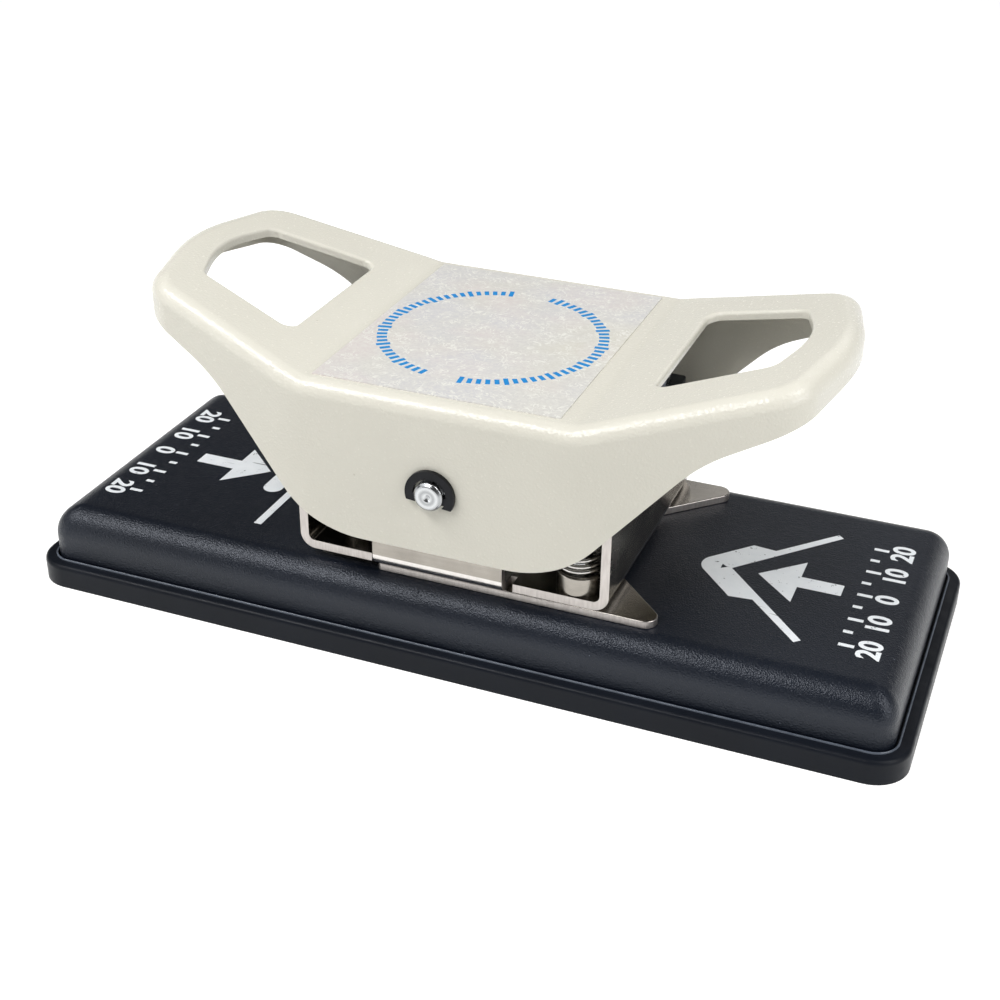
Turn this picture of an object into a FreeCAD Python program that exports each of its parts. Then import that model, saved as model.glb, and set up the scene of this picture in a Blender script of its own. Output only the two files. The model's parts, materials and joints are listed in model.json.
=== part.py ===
import FreeCAD, Part
import math
import os
import re
from FreeCAD import Placement, Rotation, Vector

# Desk punch for plastic cards: a painted rocker on a pivot pin drives two punches through one
# steel frame. The left punch cuts a strap slot, the right one rounds a corner.
# +X runs along the base from the slot side to the corner side, +Y away from the front, +Z up.
# The origin is the centre of the face that the tray rests on. All sizes are millimetres.

os.makedirs("parts", exist_ok=True)
doc = FreeCAD.newDocument("card_slot_punch")
sheet = doc.addObject("Spreadsheet::Sheet", "Sizes")
places = doc.addObject("Spreadsheet::Sheet", "Places")

SIZES = [
    # One clearance for pieces that pass each other, one for running fits, one overrun for cuts
    ("slide_clearance", 0.3),
    ("running_clearance", 0.05),
    ("overrun", 5.0),

    # Tray and housing
    ("base_length", 200.0),
    ("base_margin", 2.9),
    ("base_corner_radius", 8.0),
    ("tray_height", 5.5),
    ("tray_floor", 1.6),
    ("tray_edge_radius", 1.0),
    ("tray_seat_depth", 1.5),
    ("ledge_width", 3.4),
    ("tray_lip", 2.2),
    ("housing_top", 17.5),
    ("housing_wall", 2.4),
    ("housing_skin", 2.6),
    ("housing_edge_radius", 6.5),
    ("pad_depth", 6.0),
    ("pad_border", 4.0),

    # Die plate let into the housing, and the apertures through the stack
    ("die_left_inset", 3.2),
    ("die_right_inset", 3.7),
    ("die_side_inset", 2.0),
    ("die_thickness", 3.0),
    ("die_corner_radius", 2.0),
    ("chip_margin", 2.5),

    # Card guide plate with its corner notch
    ("guide_overhang", 0.1),
    ("guide_thickness", 1.8),
    ("guide_tip_radius", 2.6),
    ("guide_corner_radius", 1.0),

    # Bent frame
    ("frame_left_land", 9.6),
    ("frame_right_land", 7.9),
    ("frame_sheet", 2.0),
    ("frame_bend_radius", 3.5),
    ("frame_wall_height", 26.7),
    ("frame_wall_corner", 5.0),
    ("ear_left", 15.7),
    ("ear_right", 13.8),
    ("ear_setback", 0.6),
    ("ear_shoulder_height", 7.7),
    ("ear_crown_radius", 8.5),
    ("relief_width", 1.4),
    ("relief_depth", 3.0),

    # Pivot
    ("pivot_rise", 23.6),
    ("pin_radius", 3.15),
    ("pin_overhang", 1.15),
    ("pin_chamfer", 0.6),
    ("pin_dimple_radius", 0.9),
    ("pin_dimple_depth", 0.5),
    ("spacer_radius", 5.5),
    ("spacer_length", 2.0),
    ("clip_radius", 5.4),
    ("clip_bore_radius", 3.6),
    ("clip_thickness", 0.9),
    ("clip_mouth_drop_left", 1.2),
    ("clip_mouth_drop_right", 3.2),
    ("clip_prong_width", 1.7),
    ("clip_prong_root", 0.4),
    ("groove_radius", 2.6),

    # Rocker, its wings, skirts and finger openings
    ("rocker_rise", 19.6),
    ("rocker_sheet", 1.8),
    ("rocker_half_width", 37.6),
    ("rocker_edge_radius", 3.4),
    ("crease_reach", 29.3),
    ("crease_radius", 8.0),
    ("wing_angle", 16.4),
    ("waist_reach", 31.0),
    ("waist_radius", 30.0),
    ("wing_nose_reach", 76.9),
    ("wing_nose_radius", 46.0),
    ("wing_corner_setback", 6.2),
    ("wing_corner_width_share", 0.72),
    ("wing_corner_radius", 10.5),
    ("skirt_depth", 14.2),
    ("skirt_corner_reach", 26.9),
    ("skirt_corner_radius", 25.0),
    ("skirt_knee_share", 0.5),
    ("skirt_knee_depth", 12.1),
    ("skirt_knee_radius", 30.0),
    ("skirt_tip_depth", 7.3),
    ("grip_inner_reach", 39.7),
    ("grip_inner_width_share", 0.55),
    ("grip_inner_radius", 2.4),
    ("grip_outer_setback", 13.5),
    ("grip_outer_width_share", 0.4),
    ("grip_outer_radius", 3.4),
    ("grip_nose_setback", 8.7),
    ("grip_nose_radius", 28.0),
    ("corner_grip_shift", 1.6),
    ("corner_grip_shortening", 1.7),
    ("grip_edge_radius", 0.8),
    ("label_setback", 1.3),
    ("label_right", 25.5),
    ("label_margin", 0.7),
    ("label_thickness", 0.2),

    # Saddle welded inside the rocker, with a cross pin over each punch
    ("saddle_overhang", 4.5),
    ("saddle_half_width", 9.0),
    ("saddle_sheet", 2.0),
    ("saddle_depth", 14.0),
    ("saddle_end_radius", 4.0),
    ("lift_drop", 10.5),
    ("lift_pin_radius", 2.0),
    ("lift_pin_head", 0.6),

    # Punches and holders. The slot punch and the notch's vertex are set out from the pivot.
    ("punch_stroke", 4.0),
    ("punch_retreat", 0.4),
    ("slot_reach", 21.0),
    ("slot_edge_distance", 5.1),
    ("slot_length", 14.0),
    ("slot_width", 3.0),
    ("slot_shear", 0.5),
    ("notch_vertex", 18.6),
    ("card_corner_radius", 3.2),
    ("corner_punch_depth", 5.0),
    ("corner_punch_half_width", 5.5),
    ("lift_arm", 24.0),
    ("holder_drop", 11.0),
    ("holder_thickness", 5.0),
    ("holder_edge_radius", 1.0),
    ("holder_land", 1.0),
    ("holder_arm_land", 2.0),
    ("holder_post_land", 2.5),
    ("tongue_half_length", 6.2),
    ("tongue_half_width", 6.0),
    ("tongue_rise", 4.4),
    ("tongue_slot_half_length", 4.15),
    ("tongue_crown_radius", 3.0),

    # Guide posts, collars and return springs
    ("corner_post_offset", 9.7),
    ("corner_post_inset", 5.3),
    ("slot_post_offset", 3.6),
    ("slot_post_inset", 11.9),
    ("post_radius", 2.5),
    ("post_spare", 2.0),
    ("post_tip_chamfer", 0.8),
    ("collar_radius", 5.0),
    ("collar_height", 4.5),
    ("collar_chamfer", 0.4),
    ("spring_wire", 1.0),
    ("spring_bend", 1.1),

    # Screws and nuts that clamp the stack
    ("screw_reach", 8.0),
    ("screw_inset", 6.9),
    ("screw_radius", 2.0),
    ("screw_head_radius", 3.8),
    ("screw_head_height", 2.4),
    ("screw_head_taper", 0.8),
    ("screw_recess_width", 0.9),
    ("screw_recess_depth", 1.2),
    ("nut_across_flats", 7.0),
    ("nut_height", 3.2),
    ("screw_thread_past_nut", 0.6),
]

# Places that follow from those sizes. Across the machine the rocker's width carries the ears, the
# frame, the plates and the base. Upwards everything stands on the housing's top.
PLACES = [
    ("clip_face", "rocker_half_width + slide_clearance / 2"),
    ("pin_end", "rocker_half_width + slide_clearance / 2 + clip_thickness + pin_overhang"),
    ("ear_face", "rocker_half_width - rocker_sheet - slide_clearance - spacer_length"),
    ("frame_half_depth", "ear_face - frame_sheet - ear_setback"),
    ("guide_half_width", "frame_half_depth + guide_overhang"),
    ("die_half_width", "guide_half_width - die_side_inset"),
    ("base_width", "2 * (rocker_half_width + base_margin)"),
    ("screw_half_spacing", "frame_half_depth - screw_inset"),
    ("slot_post_half_spacing", "frame_half_depth - slot_post_inset"),
    ("corner_post_half_spacing", "frame_half_depth - corner_post_inset"),
    ("label_half_width", "rocker_half_width - rocker_edge_radius - label_margin"),
    ("label_left", "crease_reach - label_setback"),

    ("guide_left", "slot_reach - slot_edge_distance"),
    ("slot_post_reach", "slot_reach + slot_post_offset"),
    ("frame_left", "slot_post_reach + frame_left_land"),
    ("die_left", "frame_left - die_left_inset"),
    ("corner_punch_back", "notch_vertex - corner_punch_depth"),
    ("corner_post_reach", "notch_vertex + corner_post_offset"),
    ("frame_right", "corner_post_reach + frame_right_land"),
    ("die_right", "frame_right - die_right_inset"),
    ("saddle_reach", "lift_arm + saddle_overhang"),

    ("pad_bottom", "housing_top - pad_depth"),
    ("frame_bottom", "housing_top + guide_thickness"),
    ("floor_top", "frame_bottom + frame_sheet"),
    ("punch_tip", "frame_bottom + punch_retreat"),
    ("collar_top", "floor_top + collar_height"),
    ("ear_shoulder", "frame_bottom + ear_shoulder_height"),
    ("frame_wall_top", "frame_bottom + frame_wall_height"),
    ("pivot_height", "frame_bottom + pivot_rise"),
    ("rocker_top", "pivot_height + rocker_rise"),
    ("skirt_bottom", "pivot_height - skirt_depth"),
    ("saddle_bottom", "rocker_top - saddle_depth"),
    ("lift_height", "rocker_top - lift_drop"),
    ("holder_bottom", "lift_height - holder_drop"),
    ("holder_top", "holder_bottom + holder_thickness"),
    ("tongue_top", "lift_height + tongue_rise"),
    ("post_top", "holder_top + punch_stroke + post_spare"),
]

for row, (alias, number) in enumerate(SIZES, start=1):
    sheet.set(f"A{row}", alias)
    sheet.set(f"B{row}", str(number))
    sheet.setAlias(f"B{row}", alias)
NAMES = {alias: "Sizes" for alias, number in SIZES}
NAMES.update({alias: "Places" for alias, text in PLACES})


def formula(text):
    """A sum in plain aliases, turned into an expression that reads the two sheets."""
    def cell(found):
        alias = found[0]
        return f"{NAMES[alias]}.{alias}" if alias in NAMES else alias

    return re.sub(r"[a-z_]+", cell, text)


for row, (alias, text) in enumerate(PLACES, start=1):
    places.set(f"A{row}", alias)
    places.set(f"B{row}", "=" + formula(text))
    places.setAlias(f"B{row}", alias)
doc.recompute()


class Sizes:
    """The cells of both sheets, read by alias."""

    def __getattr__(self, alias):
        return float((sheet if NAMES[alias] == "Sizes" else places).get(alias))


size = Sizes()
tolerance = 1e-6


def bind(feature, **formulas):
    """Ties properties of a feature to sums of the sheet's cells."""
    for prop, text in formulas.items():
        feature.setExpression(prop.replace("__", "."), formula(text))
    return feature


def block(name, x_span, y_span, z_span):
    """A box between two corners, each coordinate a sum of the sheet's cells."""
    feature = doc.addObject("Part::Box", name)
    for prop, axis, (low, high) in zip(("Length", "Width", "Height"), "xyz", (x_span, y_span, z_span)):
        feature.setExpression(prop, formula(f"({high}) - ({low})"))
        feature.setExpression("Placement.Base." + axis, formula(low))
    return feature


def rod(name, radius, span, centre, along="z"):
    """A cylinder from one station to another along an axis, centred on the two other coordinates."""
    feature = doc.addObject("Part::Cylinder", name)
    turns = {"x": Rotation(Vector(0, 1, 0), 90), "y": Rotation(Vector(1, 0, 0), -90), "z": Rotation()}
    feature.Placement = Placement(Vector(), turns[along])
    bind(feature, Radius=radius, Height=f"({span[1]}) - ({span[0]})")
    across = iter(centre)
    for axis in "xyz":
        place = span[0] if axis == along else next(across)
        feature.setExpression("Placement.Base." + axis, formula(place))
    return feature


def cone(name, low_radius, high_radius, span, centre, along="z"):
    """A cone or a disc of changing radius along an axis."""
    feature = doc.addObject("Part::Cone", name)
    turns = {"y": Rotation(Vector(1, 0, 0), -90), "z": Rotation()}
    feature.Placement = Placement(Vector(), turns[along])
    bind(feature, Radius1=low_radius, Radius2=high_radius, Height=f"({span[1]}) - ({span[0]})")
    across = iter(centre)
    for axis in "xyz":
        place = span[0] if axis == along else next(across)
        feature.setExpression("Placement.Base." + axis, formula(place))
    return feature


def joined(name, *features):
    """Several features as one solid, or as one group of solids."""
    feature = doc.addObject("Part::MultiFuse", name)
    feature.Shapes = list(features)
    feature.Refine = True
    return feature


def cut(name, base, *tools):
    """A feature less one or more tools."""
    feature = doc.addObject("Part::Cut", name)
    feature.Base = base
    feature.Tool = tools[0] if len(tools) == 1 else joined(name + "_tools", *tools)
    feature.Refine = True
    return feature


def inset(corners, distance):
    """A polygon's corners moved inwards by a distance, with their radii cut back alike.

    Each side is shifted along its inward normal, and neighbours are crossed again. Corners are
    (x, y, radius) and run anticlockwise.
    """
    count = len(corners)
    lines = []
    for here, there in zip(corners, corners[1:] + corners[:1]):
        run = Vector(there[0] - here[0], there[1] - here[1], 0).normalize()
        lines.append((Vector(here[0], here[1], 0) + Vector(-run.y, run.x, 0) * distance, run))
    moved = []
    for i in range(count):
        (p, u), (q, v) = lines[i - 1], lines[i]
        turn = u.x * v.y - u.y * v.x
        step = ((q.x - p.x) * v.y - (q.y - p.y) * v.x) / turn
        radius = corners[i][2]
        if radius:
            radius -= math.copysign(distance, turn)
        moved.append((p.x + u.x * step, p.y + u.y * step, radius))
    return moved


def outline(corners):
    """Lines and arcs round a polygon whose corners are (x, y, radius)."""
    points = [Vector(x, y, 0) for x, y, radius in corners]
    pieces = []
    ends = []
    for i, (x, y, radius) in enumerate(corners):
        corner = points[i]
        back = (points[i - 1] - corner).normalize()
        ahead = (points[(i + 1) % len(points)] - corner).normalize()
        if radius <= 0:
            ends.append((corner, corner))
            continue
        half = back.getAngle(ahead) / 2
        reach = radius / math.tan(half)
        start, stop = corner + back * reach, corner + ahead * reach
        centre = corner + (back + ahead).normalize() * (radius / math.sin(half))
        angles = [math.atan2(p.y - centre.y, p.x - centre.x) for p in (start, stop)]
        if back.x * ahead.y - back.y * ahead.x > 0:
            angles.reverse()
        if angles[1] < angles[0]:
            angles[1] += 2 * math.pi
        pieces.append(Part.ArcOfCircle(Part.Circle(centre, Vector(0, 0, 1), radius), *angles))
        ends.append((start, stop))
    for i, (start, stop) in enumerate(ends):
        following = ends[(i + 1) % len(ends)][0]
        if not stop.isEqual(following, tolerance / 2):
            pieces.append(Part.LineSegment(stop, following))
    return pieces


def sketch_on(body, name, plane, loops, offset="0"):
    """A sketch on one of the body's origin planes, offset along its normal."""
    support = [plane_of for plane_of in body.Origin.OriginFeatures if plane_of.Role == plane][0]
    sketch = body.newObject("Sketcher::SketchObject", name)
    sketch.AttachmentSupport = (support, [""])
    sketch.MapMode = "FlatFace"
    sketch.setExpression("AttachmentOffset.Base.z", formula(offset))
    for loop in loops:
        sketch.addGeometry(loop, False)
    return sketch


def padded(name, plane, loops, length, offset="0", symmetric=False):
    """A body padded from closed outlines."""
    body = doc.addObject("PartDesign::Body", name)
    pad = body.newObject("PartDesign::Pad", name + "_pad")
    pad.Profile = sketch_on(body, name + "_outline", plane, loops, offset)
    bind(pad, Length=length)
    if symmetric:
        pad.SideType = "Symmetric"
    doc.recompute()
    return body


def edge_names(feature, wanted):
    """Names of the edges whose middle point and edge pass a test."""
    names = []
    for number, edge in enumerate(feature.Shape.Edges, start=1):
        middle = edge.valueAt((edge.FirstParameter + edge.LastParameter) / 2)
        if wanted(middle, edge):
            names.append(f"Edge{number}")
    return names


def rounded(body, name, radius, wanted):
    """A fillet on the edges of a body that pass a test."""
    base = body.Tip
    names = edge_names(base, wanted)
    fillet = body.newObject("PartDesign::Fillet", name)
    fillet.Base = (base, names)
    bind(fillet, Radius=radius)
    doc.recompute()
    return body


def rectangle(half_length, half_width, radius):
    """Corners of a centred rectangle."""
    return [(half_length, -half_width, radius), (half_length, half_width, radius),
            (-half_length, half_width, radius), (-half_length, -half_width, radius)]


def label(feature, name):
    """The piece's own name, which is its file's name too."""
    feature.Label = name
    pieces.append(feature)
    return feature


pieces = []

# Chip tray: a moulded pan that closes the housing from below. Its rim stands proud of the
# housing all round, and a rebate inside the rim takes the housing's lower edge.

tray_outline = rectangle(size.base_length / 2, size.base_width / 2, size.base_corner_radius)
tray_blank = padded("tray_blank", "XY_Plane", [outline(tray_outline)], "tray_height")
rounded(tray_blank, "tray_edges", "tray_edge_radius",
        lambda middle, edge: abs(middle.z - size.tray_height) < tolerance)
housing_foot = inset(tray_outline, size.ledge_width)
seat = padded("tray_seat", "XY_Plane", [outline(inset(housing_foot, -size.slide_clearance))],
              "tray_seat_depth + overrun", "tray_height - tray_seat_depth")
hollow = padded("tray_hollow", "XY_Plane", [outline(inset(housing_foot, size.housing_wall + size.tray_lip))],
                "tray_height + overrun", "tray_floor")
chip_tray = label(cut("tray_cut", tray_blank, seat, hollow), "chip_tray")

# Housing: a deep-drawn cover with a wide rounded top edge. A pad under its top skin carries the
# die plate in a flush pocket, and two windows let the chips fall through.


def dome(name, distance, bottom, top, edge):
    """The housing's outer or inner form: the foot outline inset, padded up and rounded on top."""
    body = padded(name, "XY_Plane", [outline(inset(housing_foot, distance))], f"({top}) - ({bottom})", bottom)
    return rounded(body, name + "_edges", edge,
                   lambda middle, edge_line: abs(middle.z - body.Shape.BoundBox.ZMax) < tolerance)


housing_form = dome("housing_form", 0.0, "tray_height - tray_seat_depth", "housing_top",
                    "housing_edge_radius")
housing_cavity = dome("housing_cavity", size.housing_wall, "tray_height - tray_seat_depth - overrun",
                      "housing_top - housing_skin", "housing_edge_radius - housing_wall")
housing_pad = block("housing_pad", ("-die_left - pad_border", "die_right + pad_border"),
                    ("-die_half_width - pad_border", "die_half_width + pad_border"),
                    ("pad_bottom", "housing_top - housing_skin / 2"))
die_corners = [(size.die_right, -size.die_half_width, size.die_corner_radius),
               (size.die_right, size.die_half_width, size.die_corner_radius),
               (-size.die_left, size.die_half_width, size.die_corner_radius),
               (-size.die_left, -size.die_half_width, size.die_corner_radius)]
die_pocket = padded("die_pocket", "XY_Plane", [outline(die_corners)], "die_thickness + overrun",
                    "housing_top - die_thickness")
slot_chip_window = block("slot_chip_window",
                         ("-slot_reach - slot_width / 2 - chip_margin",
                          "-slot_reach + slot_width / 2 + chip_margin"),
                         ("-slot_length / 2 - chip_margin", "slot_length / 2 + chip_margin"),
                         ("pad_bottom - overrun", "housing_top"))
corner_chip_window = block("corner_chip_window",
                           ("corner_punch_back - chip_margin",
                            "notch_vertex + corner_punch_half_width + chip_margin"),
                           ("-corner_punch_half_width - chip_margin",
                            "corner_punch_half_width + chip_margin"),
                           ("pad_bottom - overrun", "housing_top"))


def screw_places():
    """The four screws' signs along X and Y."""
    return [(side, end) for side in (-1, 1) for end in (-1, 1)]


def screw_rods(name, radius, span):
    """One rod at each screw."""
    return [rod(f"{name}_{i}", radius, span, (f"{side} * screw_reach", f"{end} * screw_half_spacing"))
            for i, (side, end) in enumerate(screw_places())]


housing_screw_holes = screw_rods("housing_screw_hole", "screw_radius",
                                 ("pad_bottom - overrun", "housing_top"))
housing_blank = joined("housing_blank", cut("housing_shell", housing_form, housing_cavity), housing_pad)
base_housing = label(cut("housing_cut", housing_blank, die_pocket, slot_chip_window, corner_chip_window,
                         *housing_screw_holes), "base_housing")

# Punch sections: the slot is a flat bar with round edges, and the corner punch is a block whose
# front is notched to the card's two edges and rounded to the card's corner.


def slot_section(gap):
    """The slot punch's outline, grown by a gap."""
    half_width = size.slot_width / 2 + gap
    half_length = size.slot_length / 2 + gap
    return [(x - size.slot_reach, y, radius)
            for x, y, radius in rectangle(half_width, half_length, half_width - tolerance)]


def corner_section(gap):
    """The corner punch's outline, grown by a gap."""
    tip = size.notch_vertex + size.corner_punch_half_width
    corners = [(size.corner_punch_back, -size.corner_punch_half_width, 0),
               (tip, -size.corner_punch_half_width, 0),
               (size.notch_vertex, 0, size.card_corner_radius),
               (tip, size.corner_punch_half_width, 0),
               (size.corner_punch_back, size.corner_punch_half_width, 0)]
    return inset(corners, -gap)


def apertures(name, gap, span):
    """Both punch openings through one plate."""
    length = f"({span[1]}) - ({span[0]})"
    return [padded(f"{name}_{kind}", "XY_Plane", [outline(section(gap))], length, span[0])
            for kind, section in (("slot", slot_section), ("corner", corner_section))]


# Die plate: hardened steel, flush with the housing's top, with the two cutting apertures.

die_span = ("housing_top - die_thickness - overrun", "housing_top + overrun")
die_blank = padded("die_blank", "XY_Plane", [outline(die_corners)], "die_thickness",
                   "housing_top - die_thickness")
die_plate = label(cut("die_cut", die_blank, *apertures("die_aperture", size.running_clearance, die_span),
                      *screw_rods("die_screw_hole", "screw_radius", die_span)), "die_plate")

# Card guide plate: its left edge stops the card at the slot side, and its open notch at the
# right centres a card's corner under the corner punch. The ends of the notch are two pointed ears.

notch_mouth = size.notch_vertex + size.guide_half_width
guide_corners = [(-size.guide_left, -size.guide_half_width, size.guide_corner_radius),
                 (notch_mouth, -size.guide_half_width, size.guide_tip_radius),
                 (size.notch_vertex, 0, 0),
                 (notch_mouth, size.guide_half_width, size.guide_tip_radius),
                 (-size.guide_left, size.guide_half_width, size.guide_corner_radius)]
guide_blank = padded("guide_blank", "XY_Plane", [outline(guide_corners)], "guide_thickness", "housing_top")
guide_window = block("guide_window", ("corner_punch_back - slide_clearance",
                                      "notch_vertex + corner_punch_half_width + slide_clearance"),
                     ("-corner_punch_half_width - slide_clearance",
                      "corner_punch_half_width + slide_clearance"),
                     ("housing_top - overrun", "housing_top + guide_thickness + overrun"))
guide_plate = label(cut("guide_cut", guide_blank, guide_window,
                        *screw_rods("guide_screw_hole", "screw_radius",
                                    ("housing_top - overrun", "housing_top + guide_thickness + overrun"))),
                    "guide_plate")

# Frame: one blank of plated steel. Left and right walls are bent up at the ends, and a pivot ear
# is bent up at the front and at the back of the floor, beside relief notches.

bend_in = size.frame_bend_radius - size.frame_sheet


def channel(low, high, top):
    """A sheet bent up at both ends: outer corners with the bend radius, inner ones less the sheet."""
    inner_low, inner_high = low + size.frame_sheet, high - size.frame_sheet
    return [(low, top, 0), (low, size.frame_bottom, size.frame_bend_radius),
            (high, size.frame_bottom, size.frame_bend_radius), (high, top, 0),
            (inner_high, top, 0), (inner_high, size.floor_top, bend_in),
            (inner_low, size.floor_top, bend_in), (inner_low, top, 0)]


wall_section = channel(-size.frame_left, size.frame_right, size.frame_wall_top)
wall_channel = padded("frame_walls", "XZ_Plane", [outline(wall_section)], "2 * frame_half_depth",
                      symmetric=True)
rounded(wall_channel, "frame_wall_corners", "frame_wall_corner",
        lambda middle, edge: (abs(middle.z - size.frame_wall_top) < tolerance
                              and edge.Length < 2 * size.frame_sheet))

ear_foot = size.frame_bottom - size.overrun
ear_crown = size.pivot_height + size.ear_crown_radius
ear_section = channel(-size.ear_face, size.ear_face, ear_crown)
ear_strip = padded("frame_ear_strip", "YZ_Plane", [outline(ear_section)], "ear_left + ear_right", "-ear_left")
ear_corners = [(-size.ear_left, ear_foot, 0), (size.ear_right, ear_foot, 0),
               (size.ear_right, size.ear_shoulder, size.ear_crown_radius),
               (size.ear_crown_radius, size.pivot_height, 0),
               (size.ear_crown_radius, ear_crown, size.ear_crown_radius - tolerance),
               (-size.ear_crown_radius, ear_crown, size.ear_crown_radius - tolerance),
               (-size.ear_crown_radius, size.pivot_height, 0),
               (-size.ear_left, size.ear_shoulder, size.ear_crown_radius)]
ear_form = padded("frame_ear_form", "XZ_Plane", [outline(ear_corners)], "2 * (ear_face + overrun)",
                  symmetric=True)
ears = doc.addObject("Part::Common", "frame_ears")
ears.Base = ear_strip
ears.Tool = ear_form
relief_notches = [
    block(f"relief_{i}_{k}", (edge, f"{edge} + relief_width") if k else (f"{edge} - relief_width", edge),
          (f"{end} * (frame_half_depth - relief_depth / 2) - relief_depth / 2",
           f"{end} * (frame_half_depth - relief_depth / 2) + relief_depth / 2"),
          ("frame_bottom - overrun", "floor_top + overrun"))
    for i, end in enumerate((-1, 1)) for k, edge in enumerate(("-ear_left", "ear_right"))]
frame_stock = cut("frame_relieved", wall_channel, *relief_notches)
frame_span = ("frame_bottom - overrun", "floor_top + overrun")
pin_bore = rod("frame_pin_bore", "pin_radius", ("-pin_end", "pin_end"), ("0", "pivot_height"), "y")


def post_places():
    """Each guide post's name and its X and Y sums."""
    return [(f"{side}_post_{end}", x, f"{sign} * {side}_post_half_spacing")
            for side, x in (("slot", "-slot_post_reach"), ("corner", "corner_post_reach"))
            for end, sign in (("front", -1), ("rear", 1))]


frame_post_holes = [rod(f"frame_{name}_hole", "post_radius", frame_span, (x, y))
                    for name, x, y in post_places()]
frame_screw_holes = screw_rods("frame_screw_hole", "screw_radius", frame_span)
punch_frame = label(cut("frame_cut", joined("frame_stock", frame_stock, ears), pin_bore,
                        *apertures("frame_aperture", size.running_clearance, frame_span),
                        *frame_screw_holes, *frame_post_holes), "punch_frame")

# Clamping screws and nuts: pan heads inside the frame, hexagon nuts under the housing's pad.

screw_shanks = screw_rods("screw_shank", "screw_radius",
                          ("pad_bottom - nut_height - screw_thread_past_nut", "floor_top"))
screw_heads = []
screw_recesses = []
for i, (side, end) in enumerate(screw_places()):
    x, y = f"{side} * screw_reach", f"{end} * screw_half_spacing"
    screw_heads.append(cone(f"screw_head_{i}", "screw_head_radius", "screw_head_radius - screw_head_taper",
                            ("floor_top", "floor_top + screw_head_height"), (x, y)))
    for way, half_x, half_y in (("along", "screw_radius", "screw_recess_width / 2"),
                                ("across", "screw_recess_width / 2", "screw_radius")):
        screw_recesses.append(block(f"screw_recess_{i}_{way}", (f"{x} - {half_x}", f"{x} + {half_x}"),
                                    (f"{y} - {half_y}", f"{y} + {half_y}"),
                                    ("floor_top + screw_head_height - screw_recess_depth",
                                     "floor_top + screw_head_height + overrun")))
frame_screws = label(cut("screws_cut", joined("screws_whole", *screw_shanks, *screw_heads), *screw_recesses),
                     "frame_screws")

nut_blanks = []
for i, (side, end) in enumerate(screw_places()):
    prism = doc.addObject("Part::Prism", f"nut_blank_{i}")
    prism.Polygon = 6
    bind(prism, Circumradius="nut_across_flats / sqrt(3)", Height="nut_height",
         Placement__Base__x=f"{side} * screw_reach", Placement__Base__y=f"{end} * screw_half_spacing",
         Placement__Base__z="pad_bottom - nut_height")
    nut_blanks.append(prism)
nut_bores = screw_rods("nut_bore", "screw_radius", ("pad_bottom - nut_height - overrun", "pad_bottom"))
frame_nuts = label(cut("nuts_cut", joined("nuts_whole", *nut_blanks), *nut_bores), "frame_nuts")

# Pivot: a plain pin through both ears and the rocker's skirts, with a groove, a chamfer and a
# turned centre at each end, a spacer outside each ear and a spring clip in each groove.

pivot_line = ("0", "pivot_height")
pin_shank = rod("pin_shank", "pin_radius", ("-pin_end + pin_chamfer", "pin_end - pin_chamfer"),
                pivot_line, "y")
pin_tips = [cone("pin_tip_rear", "pin_radius", "pin_radius - pin_chamfer",
                 ("pin_end - pin_chamfer", "pin_end"), pivot_line, "y"),
            cone("pin_tip_front", "pin_radius - pin_chamfer", "pin_radius",
                 ("-pin_end", "-pin_end + pin_chamfer"), pivot_line, "y")]
pin_dimples = [cone("pin_dimple_rear", "0", "pin_dimple_radius",
                    ("pin_end - pin_dimple_depth", "pin_end"), pivot_line, "y"),
               cone("pin_dimple_front", "pin_dimple_radius", "0",
                    ("-pin_end", "-pin_end + pin_dimple_depth"), pivot_line, "y")]
pin_grooves = []
clip_spans = {"rear": ("clip_face", "clip_face + clip_thickness"),
              "front": ("-clip_face - clip_thickness", "-clip_face")}
for end, span in clip_spans.items():
    collar = rod(f"groove_outside_{end}", "clip_radius", span, pivot_line, "y")
    core = rod(f"groove_core_{end}", "groove_radius", span, pivot_line, "y")
    pin_grooves.append(cut(f"groove_{end}", collar, core))
pin_whole = joined("pin_whole", pin_shank, *pin_tips)
pivot_pin = label(cut("pin_cut", pin_whole, *pin_dimples, *pin_grooves), "pivot_pin")

for end, span in (("rear", ("ear_face", "rocker_half_width - rocker_sheet - slide_clearance")),
                  ("front", ("-rocker_half_width + rocker_sheet + slide_clearance", "-ear_face"))):
    ring = rod(f"spacer_ring_{end}", "spacer_radius", span, pivot_line, "y")
    bore = rod(f"spacer_bore_{end}", "pin_radius", ("-pin_end", "pin_end"), pivot_line, "y")
    label(cut(f"spacer_{end}", ring, bore), f"pivot_spacer_{end}")

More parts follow.
